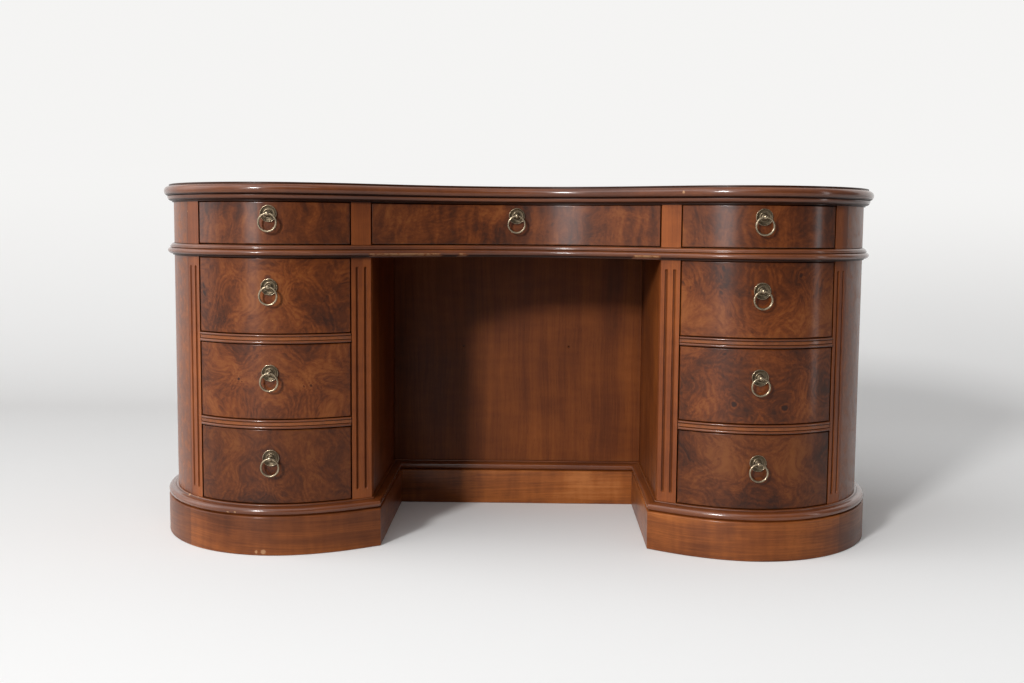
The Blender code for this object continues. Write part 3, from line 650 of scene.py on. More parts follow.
def worked_board(
    name, ends, side, across, up, bottom, drop, depths, material, matched=False, upright=False, worn=0.0,
    edges=0.0,
):
    """A board bowed to the case line, with a worked face.

    ends gives the board's first and last place on the case line at an offset; across and up are the
    distances of the mesh's columns and rows, drop is how far each lies behind the front, and depths
    are the offsets of the board's front and back. A matched board has two mirrored leaves, worn says
    how rubbed, or darkened with grime and painted shade, its face is; edges says it of its narrow sides.
    """
    front, back = depths
    shares = across / across[-1]

    def row(offsets, height):
        limits = np.array([ends(round(float(offset), 6)) for offset in offsets])
        places = limits[:, 0] + shares * (limits[:, 1] - limits[:, 0])
        flat = rim(places, offsets) * (side, 1)
        return np.column_stack([flat, np.full(len(flat), height)])

    face = np.stack([row(front - drop[number], bottom + height) for number, height in enumerate(up)])
    rear = np.stack([row(np.full(len(across), back), bottom + height) for height in up])
    measured = across
    if matched:
        measured = np.abs(across - across[-1] / 2)
    uv = grain_map(measured, up, upright)
    grids = [(face, uv, worn, 0), (rear, uv, 0.0, 0)]
    for edge in ((0, slice(None)), (-1, slice(None)), (slice(None), 0), (slice(None), -1)):
        inner_uv = uv[edge] + (0, front - back)
        grids.append((np.stack([face[edge], rear[edge]]), np.stack([uv[edge], inner_uv]), edges, 0))
    return mesh_from_grids(name, grids, [material])


def bay_ends(x_start, x_end):
    """The two ends, on planes of constant x, of a board on the right front."""
    return lambda offset: (place_at_x(x_start, offset), place_at_x(x_end, offset))


def upright_ends(kind):
    """The two ends of the outer or the inner upright of the right pedestal."""
    if kind == "inner":
        return bay_ends(KNEEHOLE_HALF, BAY_INNER)
    return lambda offset: (place_at_x(BAY_OUTER, offset), PILASTER_END)


def drawer_ends(name):
    """The two ends of a drawer front on the case line, and its side."""
    if name == "frieze_centre":
        half = KNEEHOLE_HALF - DRAWER_REVEAL - SIDE_SHRINKAGE
        return (lambda offset: (-place_at_x(half, offset), place_at_x(half, offset))), 1
    reveal = DRAWER_REVEAL + SIDE_SHRINKAGE
    return bay_ends(BAY_INNER + reveal, BAY_OUTER - reveal), SIDES["left" if "left" in name else "right"]


# Node trees

class Signal:
    """A socket that takes arithmetic and adds the Math nodes for it."""

    def __init__(self, nodes, socket):
        self.nodes = nodes
        self.socket = socket

    def __add__(self, other):
        return self.nodes.math("ADD", self, other)

    def __sub__(self, other):
        return self.nodes.math("SUBTRACT", self, other)

    def __rsub__(self, other):
        return self.nodes.math("SUBTRACT", other, self)

    def __mul__(self, other):
        return self.nodes.math("MULTIPLY", self, other)

    __radd__ = __add__
    __rmul__ = __mul__


class Nodes:
    """One node tree, for a material or for geometry."""

    def __init__(self, tree):
        self.tree = tree

    def put(self, socket, value):
        """Link a signal to a socket, or set its value."""
        if isinstance(value, Signal):
            self.tree.links.new(value.socket, socket)
        else:
            socket.default_value = value

    def add(self, kind, settings=None, sockets=None, output=0):
        """A node of any type: its settings are made first, then its sockets."""
        node = self.tree.nodes.new(kind)
        for name, value in (settings or {}).items():
            if name == "stops":
                set_stops(node.color_ramp, value)
            else:
                setattr(node, name, value)
        for name, value in (sockets or {}).items():
            self.put(node.inputs[name], value)
        return Signal(self, node.outputs[output]) if node.outputs else node

    def place(self):
        """A point's place on its own object, whose origin is the desk's."""
        return self.add("ShaderNodeTexCoord", None, None, "Object")

    def part(self, vector, axis):
        """One of the three parts of a vector."""
        return self.add("ShaderNodeSeparateXYZ", None, {0: vector}, axis)

    def worn(self):
        """How rubbed the surface is, or how darkened with grime and painted shade."""
        return self.add("ShaderNodeAttribute", {"attribute_name": "worn"}, None, "Fac")

    def math(self, operation, one, two=0.0):
        """One Math node."""
        return self.add("ShaderNodeMath", {"operation": operation}, {0: one, 1: two})

    def mix(self, factor, one, two, blend="MIX"):
        """A mix of two colours."""
        settings = {"data_type": "RGBA", "blend_type": blend, "clamp_factor": True}
        return self.add("ShaderNodeMix", settings, {0: factor, 6: one, 7: two}, 2)

    def ramp(self, value, stops):
        """A colour ramp with (place, colour) stops."""
        return self.add("ShaderNodeValToRGB", {"stops": stops}, {0: value})

    def between(self, value, low, high):
        """A smooth 0 to 1 as a value goes from low to high."""
        sockets = {"Value": value, "From Min": low, "From Max": high}
        return self.add("ShaderNodeMapRange", {"interpolation_type": "SMOOTHSTEP"}, sockets)

    def scaled(self, vector, scale):
        """A vector stretched by three numbers."""
        return self.add("ShaderNodeVectorMath", {"operation": "MULTIPLY"}, {0: vector, 1: scale})

    def moved(self, vector, other):
        """The sum of two vectors."""
        return self.add("ShaderNodeVectorMath", {"operation": "ADD"}, {0: vector, 1: other})

    def noise(self, vector, scale, detail=3.0, roughness=0.55, distortion=0.0, colour=False):
        """Fractal noise, as one value or as three."""
        sockets = {
            "Vector": vector, "Scale": scale, "Detail": detail, "Roughness": roughness,
            "Distortion": distortion,
        }
        return self.add("ShaderNodeTexNoise", {"noise_dimensions": "3D"}, sockets, 1 if colour else 0)

    def grained(self, vector, along, across, detail=2, roughness=0.5):
        """Noise that changes so many times in a metre along the grain and across it."""
        return self.noise(self.scaled(vector, (along, across, across)), 1.0, detail, roughness)

    def warped(self, vector, scale, reach, detail=2.0, by=None):
        """A vector pushed about by noise read there or elsewhere, by up to about half the reach."""
        push = self.noise(by or vector, scale, detail, colour=True)
        push = self.moved(push, (-0.5, -0.5, -0.5))
        return self.moved(vector, self.scaled(push, (reach, reach, reach)))

    def bump(self, height, strength, distance):
        """A normal from a height."""
        sockets = {"Height": height, "Strength": strength, "Distance": distance}
        return self.add("ShaderNodeBump", None, sockets)


class Finish(Nodes):
    """The node tree of a material with one Principled shader."""

    def __init__(self, name):
        self.material = bpy.data.materials.new(name)
        self.material.use_nodes = True
        super().__init__(self.material.node_tree)
        self.shader = self.tree.nodes["Principled BSDF"]

    def done(self, fixed, varying):
        """Set what is the same all over, and link what changes over the surface."""
        for name, value in (fixed | varying).items():
            self.put(self.shader.inputs[name], value)
        return self.material


def set_stops(ramp, stops):
    """Replace a colour ramp's stops."""
    while len(ramp.elements) < len(stops):
        ramp.elements.new(0.5)
    for element, (place, colour) in zip(ramp.elements, stops):
        element.position = place
        element.color = (*colour[:3], 1.0)


def dimmed(colour, share=1.0):
    """A colour times a share, or times one for each of red, green and blue, as a node's colour."""
    red, green, blue = (float(by) for by in np.broadcast_to(share, 3))
    return (colour[0] * red, colour[1] * green, colour[2] * blue, 1.0)


def grain_vector(nodes, turn=None):
    """Where the grain is read: the Grain map, or a solid's own position turned to its grain."""
    if turn is None:
        return nodes.add("ShaderNodeUVMap", {"uv_map": "Grain"})
    return nodes.add("ShaderNodeMapping", None, {"Vector": nodes.place(), "Rotation": turn})


def rubbed_grimed_and_shaded(nodes, place, colour, light, dark):
    """Pale rubbed arrises, dark wax and painted shade in the quirks, from the worn attribute, and the
    polish left.
    """
    worn = nodes.worn()
    patchy = nodes.noise(place, 42.0, 4, 0.7)
    rub = nodes.between(worn * 0.5 + patchy, 0.74, 1.10)
    # Grime and painted shade: where worn is below zero the colour is darkened towards the dark tone
    grime_and_shade = nodes.between(worn * -1.0 + nodes.noise(place, 25.0, 3, 0.6) * 0.3, 0.15, 0.85)
    bare = nodes.between(worn + nodes.noise(place, 70.0, 5, 0.75) * 2.6, 3.0, 3.3)
    colour = nodes.mix(rub * 0.45, colour, light)
    colour = nodes.mix(grime_and_shade * 0.85, colour, dark)
    polish = 1 - rub * 0.6 - grime_and_shade * 0.8
    return nodes.mix(bare * 0.85, colour, dimmed(BARE_WOOD)), polish


def chipped(nodes, colour):
    """Small spots where the finish is knocked off to the bare wood."""
    place = nodes.warped(nodes.place(), 260.0, 0.004)
    for x, out, z, size in CHIPS:
        centre = (x, front_y(x, out), z)
        away = nodes.add("ShaderNodeVectorMath", {"operation": "DISTANCE"}, {0: place, 1: centre}, 1)
        colour = nodes.mix((1 - nodes.between(away, size * 0.5, size)) * 0.8, colour, dimmed(BARE_WOOD))
    return colour


def jointed(nodes, colour, dark):
    """The curved ends of the plinth are separate, darker pieces, past a fine joint."""
    side = nodes.math("ABSOLUTE", nodes.part(nodes.place(), "X"))
    past = nodes.between(side, PLINTH_JOINT, PLINTH_JOINT + JOINT_WIDTH)
    seam = past - nodes.between(side, PLINTH_JOINT + JOINT_WIDTH, PLINTH_JOINT + 2 * JOINT_WIDTH)
    return nodes.mix(past * 0.40 + seam * 0.35, colour, dark)


def straight_grain(
    name, tones, contrast=1.0, stripe=1.0, gloss=0.16, coat=0.5, ripple_share=0.1, turn=None
):
    """Polished straight grain: stripes, fine lines and pores, a silky ripple and rubbed arrises.

    stripe is how narrow the stripes are, gloss is how dull the polish is, and coat how thick.
    """
    nodes = Finish(name)
    place = grain_vector(nodes, turn)
    flowing = nodes.warped(place, 2.2, 0.035)
    stripes = nodes.grained(flowing, 1.2, 22 * stripe, 3, 0.55)
    lines = nodes.grained(flowing, 5, 260, 3, 0.6)
    pores = nodes.grained(flowing, 55, 1500)
    ripple = nodes.grained(flowing, 52, 11)
    clouds = nodes.noise(place, 5.0, 3, 0.5)
    tone = stripes * 0.42 + lines * 0.20 + ripple * ripple_share + clouds * 0.38
    middle = 0.50 + ripple_share / 2
    tone = nodes.between(tone, middle - 0.26 / contrast, middle + 0.26 / contrast)
    colour = nodes.ramp(tone, list(zip((0.0, 0.4, 0.72, 1.0), tones)))
    dark = dimmed(tones[0], 0.35)
    pore_mask = nodes.between(pores, 0.58, 0.70)
    colour = nodes.mix(pore_mask * 0.35, colour, dark)
    colour, polish = rubbed_grimed_and_shaded(nodes, place, colour, dimmed(tones[3], 1.3), dark)
    if name == "plinth":
        colour = jointed(nodes, colour, dimmed(tones[0]))
    if name in CHIPPED:
        colour = chipped(nodes, colour)
    rough = nodes.noise(place, 30.0, 4, 0.6) * 0.12 + (gloss + 0.22) + pore_mask * 0.08
    height = lines * 0.4 + pores * 0.6 + nodes.noise(place, 120.0, 2) * 0.3
    return nodes.done(POLISH | {"Coat Roughness": gloss}, {
        "Base Color": colour, "Roughness": rough,
        "Coat Weight": polish * coat, "Normal": nodes.bump(height, 0.08, 0.0005),
    })


def burr(name, tones, contrast=1.0, curl=1.0, knots=1.0, streak=0.0, gloss=0.17, coat=0.3):
    """Burr veneer: soft clouds that curl round clusters of dark eyes, with fine fibres between.

    curl is how far the figure swirls, knots how many eyes show, and streak adds cross figure.
    """
    nodes = Finish(name)
    place = nodes.warped(grain_vector(nodes), 6.0, LEAF_DRIFT, 2, nodes.place())
    first = nodes.warped(place, 5.0, 0.12 * curl, 2)
    second = nodes.warped(first, 20.0, 0.026 * curl, 2)
    clouds = nodes.noise(second, 8.0, 3, 0.5)
    rings = nodes.math("SINE", nodes.noise(second, 9.0, 1, 0.5) * 90.0) * 0.5 + 0.5
    fibres = nodes.noise(second, 150.0, 4, 0.62, 0.5)
    figure = nodes.grained(second, 60, 7, 3, 0.55)
    mottle = nodes.noise(second, 30.0, 3, 0.55)
    tone = clouds * 0.52 + mottle * 0.20 + rings * (0.05 * curl) + fibres * 0.28 + figure * streak
    cells = nodes.add("ShaderNodeTexVoronoi", None, {"Vector": second, "Scale": 42.0})
    chosen = nodes.between(nodes.noise(first, 6.5, 1, 0.5), 0.52, 0.64) * knots
    eye = (1 - nodes.between(cells, 0.04, 0.24)) * chosen
    halo = nodes.math("SINE", cells * 30.0) * (1 - nodes.between(cells, 0.2, 0.7)) * chosen
    middle = 0.50 + 0.5 * streak
    tone = tone - eye * 0.22 + halo * 0.03 - chosen * 0.03
    tone = nodes.between(tone, middle - 0.21 / contrast, middle + 0.25 / contrast)
    colour = nodes.ramp(tone, list(zip((0.0, 0.36, 0.66, 1.0), tones)))
    colour, _ = rubbed_grimed_and_shaded(nodes, place, colour, dimmed(tones[3], 1.2), dimmed(tones[0], 0.35))
    rough = nodes.noise(place, 30.0, 4, 0.6) * 0.14 + (gloss + 0.20)
    height = fibres * 0.4 + nodes.noise(place, 60.0, 2) * 0.6
    return nodes.done(POLISH | {"Coat Roughness": gloss, "Coat Weight": coat}, {
        "Base Color": colour, "Roughness": rough, "Normal": nodes.bump(height, 0.06, 0.0005),
    })


def drawer_lining(name, dark, body, light):
    """Dry oak: a pale straight grain with long dark pores, unpolished."""
    nodes = Finish(name)
    place = grain_vector(nodes, GRAIN_ALONG_Y)
    flowing = nodes.warped(place, 3.0, 0.02)
    rings = nodes.grained(flowing, 1.5, 60, 3, 0.55)
    pores = nodes.between(nodes.grained(flowing, 60, 900, 2, 0.55), 0.58, 0.68)
    dirt = nodes.between(nodes.noise(place, 9.0, 4, 0.65), 0.42, 0.72)
    colour = nodes.mix(nodes.between(rings, 0.35, 0.68), dimmed(body), dimmed(light))
    colour = nodes.mix(pores * 0.6, colour, dimmed(dark))
    colour = nodes.mix(dirt * 0.25, colour, dimmed(dark, 0.8))
    return nodes.done({"IOR": 1.45}, {
        "Base Color": colour, "Roughness": rings * 0.15 + 0.60 + pores * 0.1,
        "Normal": nodes.bump(rings * 0.5 - pores, 0.15, 0.0005),
    })


def antique_brass(name, bright, dull):
    """Old lacquered brass, browned in its hollows and bright where fingers rub it."""
    nodes = Finish(name)
    place = nodes.place()
    worn = nodes.worn()
    tarnish = nodes.between(nodes.noise(place, 160.0, 4, 0.65) - worn * 0.35, 0.20, 0.75)
    speckle = nodes.between(nodes.noise(place, 900.0, 3, 0.6), 0.52, 0.70)
    colour = nodes.mix(tarnish * 0.85, dimmed(bright), dimmed(dull))
    colour = nodes.mix(speckle * 0.35, colour, dimmed(dull, 0.4))
    rough = tarnish * 0.22 + 0.22 + speckle * 0.12
    height = nodes.noise(place, 420.0, 3) * 0.6 - speckle * 0.4
    return nodes.done({"Metallic": 1.0, "IOR": 1.5}, {
        "Base Color": colour, "Roughness": rough, "Normal": nodes.bump(height, 0.12, 0.0004),
    })


def seen_rays(nodes):
    """1 for rays that show the stage itself, in the picture, in metal or in glass; 0 for its light."""
    ray = nodes.add("ShaderNodeLightPath").socket.node.outputs
    seen = nodes.math("MAXIMUM", Signal(nodes, ray["Is Camera Ray"]), Signal(nodes, ray["Is Glossy Ray"]))
    return nodes.math("MAXIMUM", seen, Signal(nodes, ray["Is Transmission Ray"]))


def pale_surface(name, colour):
    """A pale floor that turns into an evenly bright backdrop where it curves up."""
    nodes = Finish(name)
    place = nodes.place()
    seen = seen_rays(nodes)
    mottle = nodes.noise(place, 3.0, 3, 0.5)
    tint = nodes.mix(mottle * 0.3, dimmed(colour), dimmed(colour, 0.96))
    nodes.done({"Roughness": 0.75}, {"Base Color": nodes.mix(seen, dimmed(FLOOR_BOUNCE), tint)})
    share = seen * nodes.between(nodes.part(place, "Z"), 0.0, 0.9)
    glow = nodes.add("ShaderNodeEmission", None, {"Color": dimmed(colour, 1.06), "Strength": 1.0})
    lit = Signal(nodes, nodes.shader.outputs[0])
    mixed = nodes.add("ShaderNodeMixShader", None, {0: share, 1: lit, 2: glow})
    nodes.put(nodes.tree.nodes["Material Output"].inputs["Surface"], mixed)
    return nodes.material


# What a user would change

class DeskSizes(bpy.types.PropertyGroup):
    """Sizes of the worked details."""

    flute_width: FloatProperty(
        name="Flute width", description="Width of the flutes on the pilasters",
        default=0.0072, min=0.002, max=0.009, unit="LENGTH",
    )
    flute_depth: FloatProperty(
        name="Flute depth", description="Depth of the flutes on the pilasters",
        default=0.0033, min=0.0005, max=0.004, unit="LENGTH",
    )
    front_arris: FloatProperty(
        name="Drawer arris", description="Radius of the rounded edges of the drawer fronts",
        default=0.0016, min=0.0005, max=0.004, unit="LENGTH",
    )
    crossband: FloatProperty(
        name="Crossband", description="Width of the crossbanded border of the top",
        default=0.042, min=0.01, max=0.1, unit="LENGTH",
    )
    ring_wire: FloatProperty(
        name="Ring wire", description="Radius of the wire of the ring pulls",
        default=0.0021, min=0.0008, max=0.0024, unit="LENGTH",
    )


def colour_choice(name, description, default):
    """A colour that a user would change."""
    return FloatVectorProperty(
        name=name, description=description, default=default, size=3, min=0, max=1, subtype="COLOR"
    )


class DeskColours(bpy.types.PropertyGroup):
    """Colours of the woods and the brass, from dark to light."""

    walnut_dark: colour_choice("Walnut dark", "Darkest lines of the walnut", (0.046, 0.011, 0.003))
    walnut: colour_choice("Walnut", "Body colour of the walnut", (0.120, 0.030, 0.007))
    walnut_warm: colour_choice("Walnut warm", "Warm stripes of the walnut", (0.200, 0.054, 0.011))
    walnut_light: colour_choice("Walnut light", "Lightest figure and rubbed edges", (0.300, 0.096, 0.026))
    burr_dark: colour_choice("Burr dark", "Knots and eyes of the burr", (0.026, 0.0072, 0.0026))
    burr: colour_choice("Burr", "Body colour of the burr", (0.093, 0.0215, 0.0042))
    burr_warm: colour_choice("Burr warm", "Curls of the burr", (0.162, 0.040, 0.0076))
    burr_light: colour_choice("Burr light", "Lightest clouds of the burr", (0.255, 0.077, 0.017))
    oak_dark: colour_choice("Lining dark", "Pores of the drawer linings", (0.10, 0.052, 0.025))
    oak: colour_choice("Lining", "Body colour of the drawer linings", (0.36, 0.22, 0.115))
    oak_light: colour_choice("Lining light", "Lightest grain of the drawer linings", (0.52, 0.35, 0.20))
    brass: colour_choice("Brass", "Rubbed brass", (0.33, 0.26, 0.175))
    brass_dull: colour_choice("Brass dull", "Browned brass", (0.090, 0.067, 0.042))
    floor: colour_choice("Floor", "The pale floor and backdrop", (0.86, 0.855, 0.845))


def sizes():
    """The sizes set on the scene."""
    return bpy.context.scene.kidney_desk_sizes


def wood_tones(wood, share):
    """The four colours set for a wood, from dark to light, times a share."""
    kept = bpy.context.scene.kidney_desk_colours
    labels = (f"{wood}_dark", wood, f"{wood}_warm", f"{wood}_light")
    return [dimmed(getattr(kept, label), share) for label in labels]


@lru_cache(maxsize=None)
def finish(name):
    """One of the desk's finishes, made when it is first asked for."""
    kept = bpy.context.scene.kidney_desk_colours
    if name in STRAIGHT_FINISHES:
        share, settings = STRAIGHT_FINISHES[name]
        return straight_grain(name, wood_tones("walnut", share), **settings)
    if name in BURR_FINISHES:
        share, settings = BURR_FINISHES[name]
        return burr(name, wood_tones("burr", share), **settings)
    makers = {
        "lining": lambda: drawer_lining(name, kept.oak_dark, kept.oak, kept.oak_light),
        "brass": lambda: antique_brass(name, kept.brass, kept.brass_dull),
        "floor": lambda: pale_surface(name, kept.floor),
    }
    return makers[name]()


# Geometry Nodes

def new_tree(name, inputs):
    """An empty geometry tree with named inputs, and a signal for each of them."""
    tree = bpy.data.node_groups.new(name, "GeometryNodeTree")
    tree.interface.new_socket("Geometry", in_out="OUTPUT", socket_type="NodeSocketGeometry")
    for label, kind in {"Geometry": "Geometry", **inputs}.items():
        tree.interface.new_socket(label, in_out="INPUT", socket_type=f"NodeSocket{kind}")
    nodes = Nodes(tree)
    given = nodes.add("NodeGroupInput").socket.node.outputs
    return nodes, {socket.name: Signal(nodes, socket) for socket in given if socket.name}


def end_tree(nodes, made, material):
    """Close a tree: instances made real, and the finish set."""
    made = nodes.add("GeometryNodeRealizeInstances", None, {"Geometry": made})
    made = nodes.add("GeometryNodeSetMaterial", None, {"Geometry": made, "Material": material})
    nodes.add("NodeGroupOutput", None, {"Geometry": made})
    return nodes.tree


def moulding_tree():
    """A tree that carries a profile round a closed path and keeps the lengths run along both."""
    nodes, given = new_tree("Moulding", {"Profile": "Object", "Finish": "Material"})
    length = nodes.add("GeometryNodeSplineParameter", None, None, "Length")

    def measured(curve, label):
        sockets = {"Geometry": curve, "Name": label, "Value": length}
        return nodes.add("GeometryNodeStoreNamedAttribute", None, sockets)

    line = nodes.add("GeometryNodeMeshToCurve", None, {"Mesh": given["Geometry"]})
    line = nodes.add("GeometryNodeSetCurveNormal", {"mode": "Z_UP"}, {"Curve": line})
    shape = nodes.add("GeometryNodeObjectInfo", None, {"Object": given["Profile"]}, "Geometry")
    shape = nodes.add("GeometryNodeMeshToCurve", None, {"Mesh": shape})
    made = nodes.add("GeometryNodeCurveToMesh", None, {
        "Curve": measured(line, "along"), "Profile Curve": measured(shape, "around"),
    })
    return end_tree(nodes, made, given["Finish"])


def ring_tree():
    """A tree that makes a ring of round wire, hung from a point."""
    inputs = {"Radius": "Float", "Wire": "Float", "Pivot": "Vector", "Finish": "Material"}
    nodes, given = new_tree("Ring", inputs)
    circle, section = (
        nodes.add("GeometryNodeCurvePrimitiveCircle", None, {"Resolution": sides, "Radius": given[size]})
        for sides, size in ((RING_SIDES, "Radius"), (WIRE_SIDES, "Wire"))
    )
    made = nodes.add("GeometryNodeCurveToMesh", None, {"Curve": circle, "Profile Curve": section})
    down = nodes.add("ShaderNodeCombineXYZ", None, {"Z": 0 - given["Radius"]})
    made = nodes.add("GeometryNodeTransform", None, {
        "Geometry": made, "Translation": nodes.moved(given["Pivot"], down),
        "Rotation": (math.pi / 2, 0, 0),
    })
    return end_tree(nodes, made, given["Finish"])


@lru_cache(maxsize=None)
def tree_of(kind):
    """A geometry tree, built when it is first asked for."""
    return {"moulding": moulding_tree, "ring": ring_tree}[kind]()


def grown(name, kind, base, values):
    """Run a tree on a mesh once and keep what it makes as a plain mesh."""
    holder = linked(name, base)
    modifier = holder.modifiers.new(kind, "NODES")
    modifier.node_group = tree_of(kind)
    for socket in modifier.node_group.interface.items_tree:
        if socket.in_out == "INPUT" and socket.name in values:
            modifier[socket.identifier] = values[socket.name]
    mesh = evaluated_mesh(holder)
    bpy.data.objects.remove(holder)
    return mesh


def wire_mesh(name, points):
    """A closed line of edges through the points."""
    mesh = bpy.data.meshes.new(name)
    edges = [(here, (here + 1) % len(points)) for here in range(len(points))]
    mesh.from_pydata(points, edges, [])
    return mesh


def grimed_and_shaded(profile, clean_unshaded):
    """How worn a profile is at each point, darkened with grime and painted shade below and above the
    heights that stay clean.
    """
    up = np.array(profile)[:, 1]
    return np.where((up < clean_unshaded[0]) | (up > clean_unshaded[1]), GRIMY_AND_SHADED, convexity(profile))


def kidney_moulding(name, profile, height, material, clean_unshaded):
    """A moulding round the whole kidney outline, with grime and painted shade where it meets the pieces
    near it.
    """
    path = wire_mesh(name, [(x, y, height) for x, y in whole_path(0.0)[:-1]])
    section_mesh = wire_mesh("profile", [(out, -up, 0) for out, up in profile])
    set_worn(section_mesh, grimed_and_shaded(profile, clean_unshaded))
    section = linked("profile", section_mesh)
    mesh = grown(name, "moulding", path, {"Profile": section, "Finish": material})
    bpy.data.objects.remove(section)
    grain_from_lengths(mesh)
    face_outwards(mesh)
    return add_object(name, mesh)


def grain_from_lengths(mesh):
    """Turn the lengths kept along and around a moulding into its Grain map, closed at the seams."""
    shift = random.uniform(0, LARGEST_SHIFT, 2)
    corners = corner_points(mesh)
    columns = []
    for label in ("along", "around"):
        values = np.zeros(len(mesh.vertices))
        mesh.attributes[label].data.foreach_get("value", values)
        length = values.max()
        at = values[corners].reshape(-1, 4)
        torn = np.ptp(at, axis=1)[:, None] > length / 2
        at = np.where(torn & (at < length / 2), at + length + PATH_STEP, at)
        columns.append(at.reshape(-1))
    set_grain(mesh, np.stack(columns, axis=1) + shift)


def drill_through(made, start, end, radius, sides=DRILL_SIDES):
    """Drill a round hole into a piece, from one point to another."""
    built = bmesh.new()
    bmesh.ops.create_cone(
        built, cap_ends=True, segments=sides, radius1=radius, radius2=radius, depth=(end - start).length
    )
    turn = (end - start).to_track_quat("Z", "Y").to_matrix().to_4x4()
    bmesh.ops.transform(built, matrix=turn, verts=built.verts)
    bmesh.ops.translate(built, vec=(start + end) / 2, verts=built.verts)
    mesh = bpy.data.meshes.new("drill")
    built.to_mesh(mesh)
    built.free()
    drill = linked("drill", mesh)
    cut = made.modifiers.new("drill", "BOOLEAN")
    cut.operation = "DIFFERENCE"
    cut.object = drill
    drilled = evaluated_mesh(made)
    made.modifiers.clear()
    made.data = drilled
    bpy.data.objects.remove(drill)
    drilled.set_sharp_from_angle(angle=SHARP_ANGLE)


# The pieces

def make_top():
    """The top board: a moulded edge, a crossbanded border and a field of figured veneer."""
    profile = top_edge_profile()
    inward = [profile[-1], (profile[-1][0] - sizes().crossband, profile[-1][1])]
    edge = ring_grid(profile, whole_path, TOP_LOW.z)
    border = ring_grid(inward, whole_path, TOP_LOW.z)
    edge_uv = grain_map(run_lengths(edge[len(profile) // 2]), run_lengths(profile))
    border_uv = grain_map(run_lengths(border[0]), run_lengths(inward), upright=True)
    # The foot of the bead and the raised lip are darkened with grime and painted shade
    worn = grimed_and_shaded(profile, TOP_CLEAN_UNSHADED)
    worn[[0, -1]] = 0
    field = border[-1, :-1]
    under = edge[0, :-1]
    grids = [(edge, edge_uv, worn[:, None], 0), (border, border_uv, 0.0, 1)]
    fills = [(field, field[:, :2], 2), (under, under[:, :2], 3)]
    finishes = [finish(kind) for kind in ("moulding", "case", "burr", "inside")]
    settle(mesh_from_grids("top", grids, finishes, fills), "top_board")


def wear_edge_bare(mesh, foot):
    """Wear the front of the waist moulding down to bare wood near its foot, here and there."""
    places = np.zeros(len(mesh.vertices) * 3)
    mesh.vertices.foreach_get("co", places)
    x, y, z = places.reshape(-1, 3).T
    worn = np.zeros(len(x))
    mesh.attributes["worn"].data.foreach_get("value", worn)
    low, high = (foot + height for height in BARE_HEIGHTS)
    for start, end in BARE_SPANS:
        worn[(x > start) & (x < end) & (y < 0) & (z > low) & (z < high)] = BARE
    set_worn(mesh, worn)


def make_rings_of_moulding():
    """The moulding under the top and the one round the waist."""
    under = kidney_moulding(
        "moulding_under_top", under_moulding_profile(), UNDER_LOW.z, finish("rail"), UNDER_CLEAN_UNSHADED
    )
    settle(under, "under_moulding")
    waist = kidney_moulding(
        "moulding_at_waist", waist_profile(), WAIST_LOW.z, finish("moulding"), WAIST_CLEAN_UNSHADED
    )
    wear_edge_bare(waist.data, WAIST_LOW.z)
    settle(waist, "waist_moulding")
    dress("frieze_floor", finish("inside"))


def make_walls():
    """The curved walls of the case and of the frieze, round both ends and the back."""
    start = PILASTER_END + FIT_GAP
    path = part_path(start, LINE_LENGTH - start)
    for name, node, low, high in (
        ("wall_of_frieze", "frieze_band", BAND_LOW.z, BAND_HIGH.z),
        ("wall_of_case", "case_shell", SHELL_LOW.z, SHELL_HIGH.z),
    ):
        profile = wall_profile(SHELL_THICKNESS, high - low)
        made = swept(name, path, profile, low, finish("case"), upright=True, ends=True)
        settle(made, node)


def make_stiles():
    """The uprights between the frieze drawers, and the partition boards behind the inner two."""
    low = BAND_LOW.z
    high = BAND_HIGH.z
    up = np.linspace(0, high - low, 3)
    nodes = {"outer": "frieze_outer_stile", "inner": "frieze_partition"}
    box_low, box_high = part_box("frieze_partition_right")
    front = FIT_GAP + max(front_y(x, -PILASTER_THICKNESS) for x in (KNEEHOLE_HALF, BAY_INNER))
    plan = rectangle(box_low.x, box_high.x, front, box_high.y)
    for name, side in SIDES.items():
        for kind, node in nodes.items():
            ends = upright_ends(kind)
            first, last = ends(0.0)
            across = eased_stations(last - first, UPRIGHT_ARRIS, UPRIGHT_COLUMN_STEP)
            drop = eased_drop(across, up, UPRIGHT_ARRIS, ends=False)
            made = worked_board(
                f"stile_{kind}_{name}", ends, side, across, up, low, drop,
                (0.0, -PILASTER_THICKNESS), finish("pilaster"), upright=True,
            )
            settle(made, f"{node}_{name}", slot="walnut_straight_grain")
        made = board(f"partition_{name}", mirrored(plan, side), low, high, (0, 1, 0), finish("inside"))
        settle(made, slot="walnut_inside")


def flute_drop(across, up, centres):
    """How far a fluted face lies behind its plane: round-ended hollows up its height."""
    half = sizes().flute_width / 2
    low = FLUTE_END_MARGIN + half
    high = up[-1] - FLUTE_END_MARGIN - half
    beyond = np.maximum(0, np.maximum(low - up, up - high))[:, None]
    drop = np.zeros((len(up), len(across)))
    for centre in centres:
        away = np.hypot(across[None, :] - centre, beyond) / half
        drop = np.maximum(drop, np.sqrt(np.maximum(0, 1 - away**2)))
    return drop * sizes().flute_depth


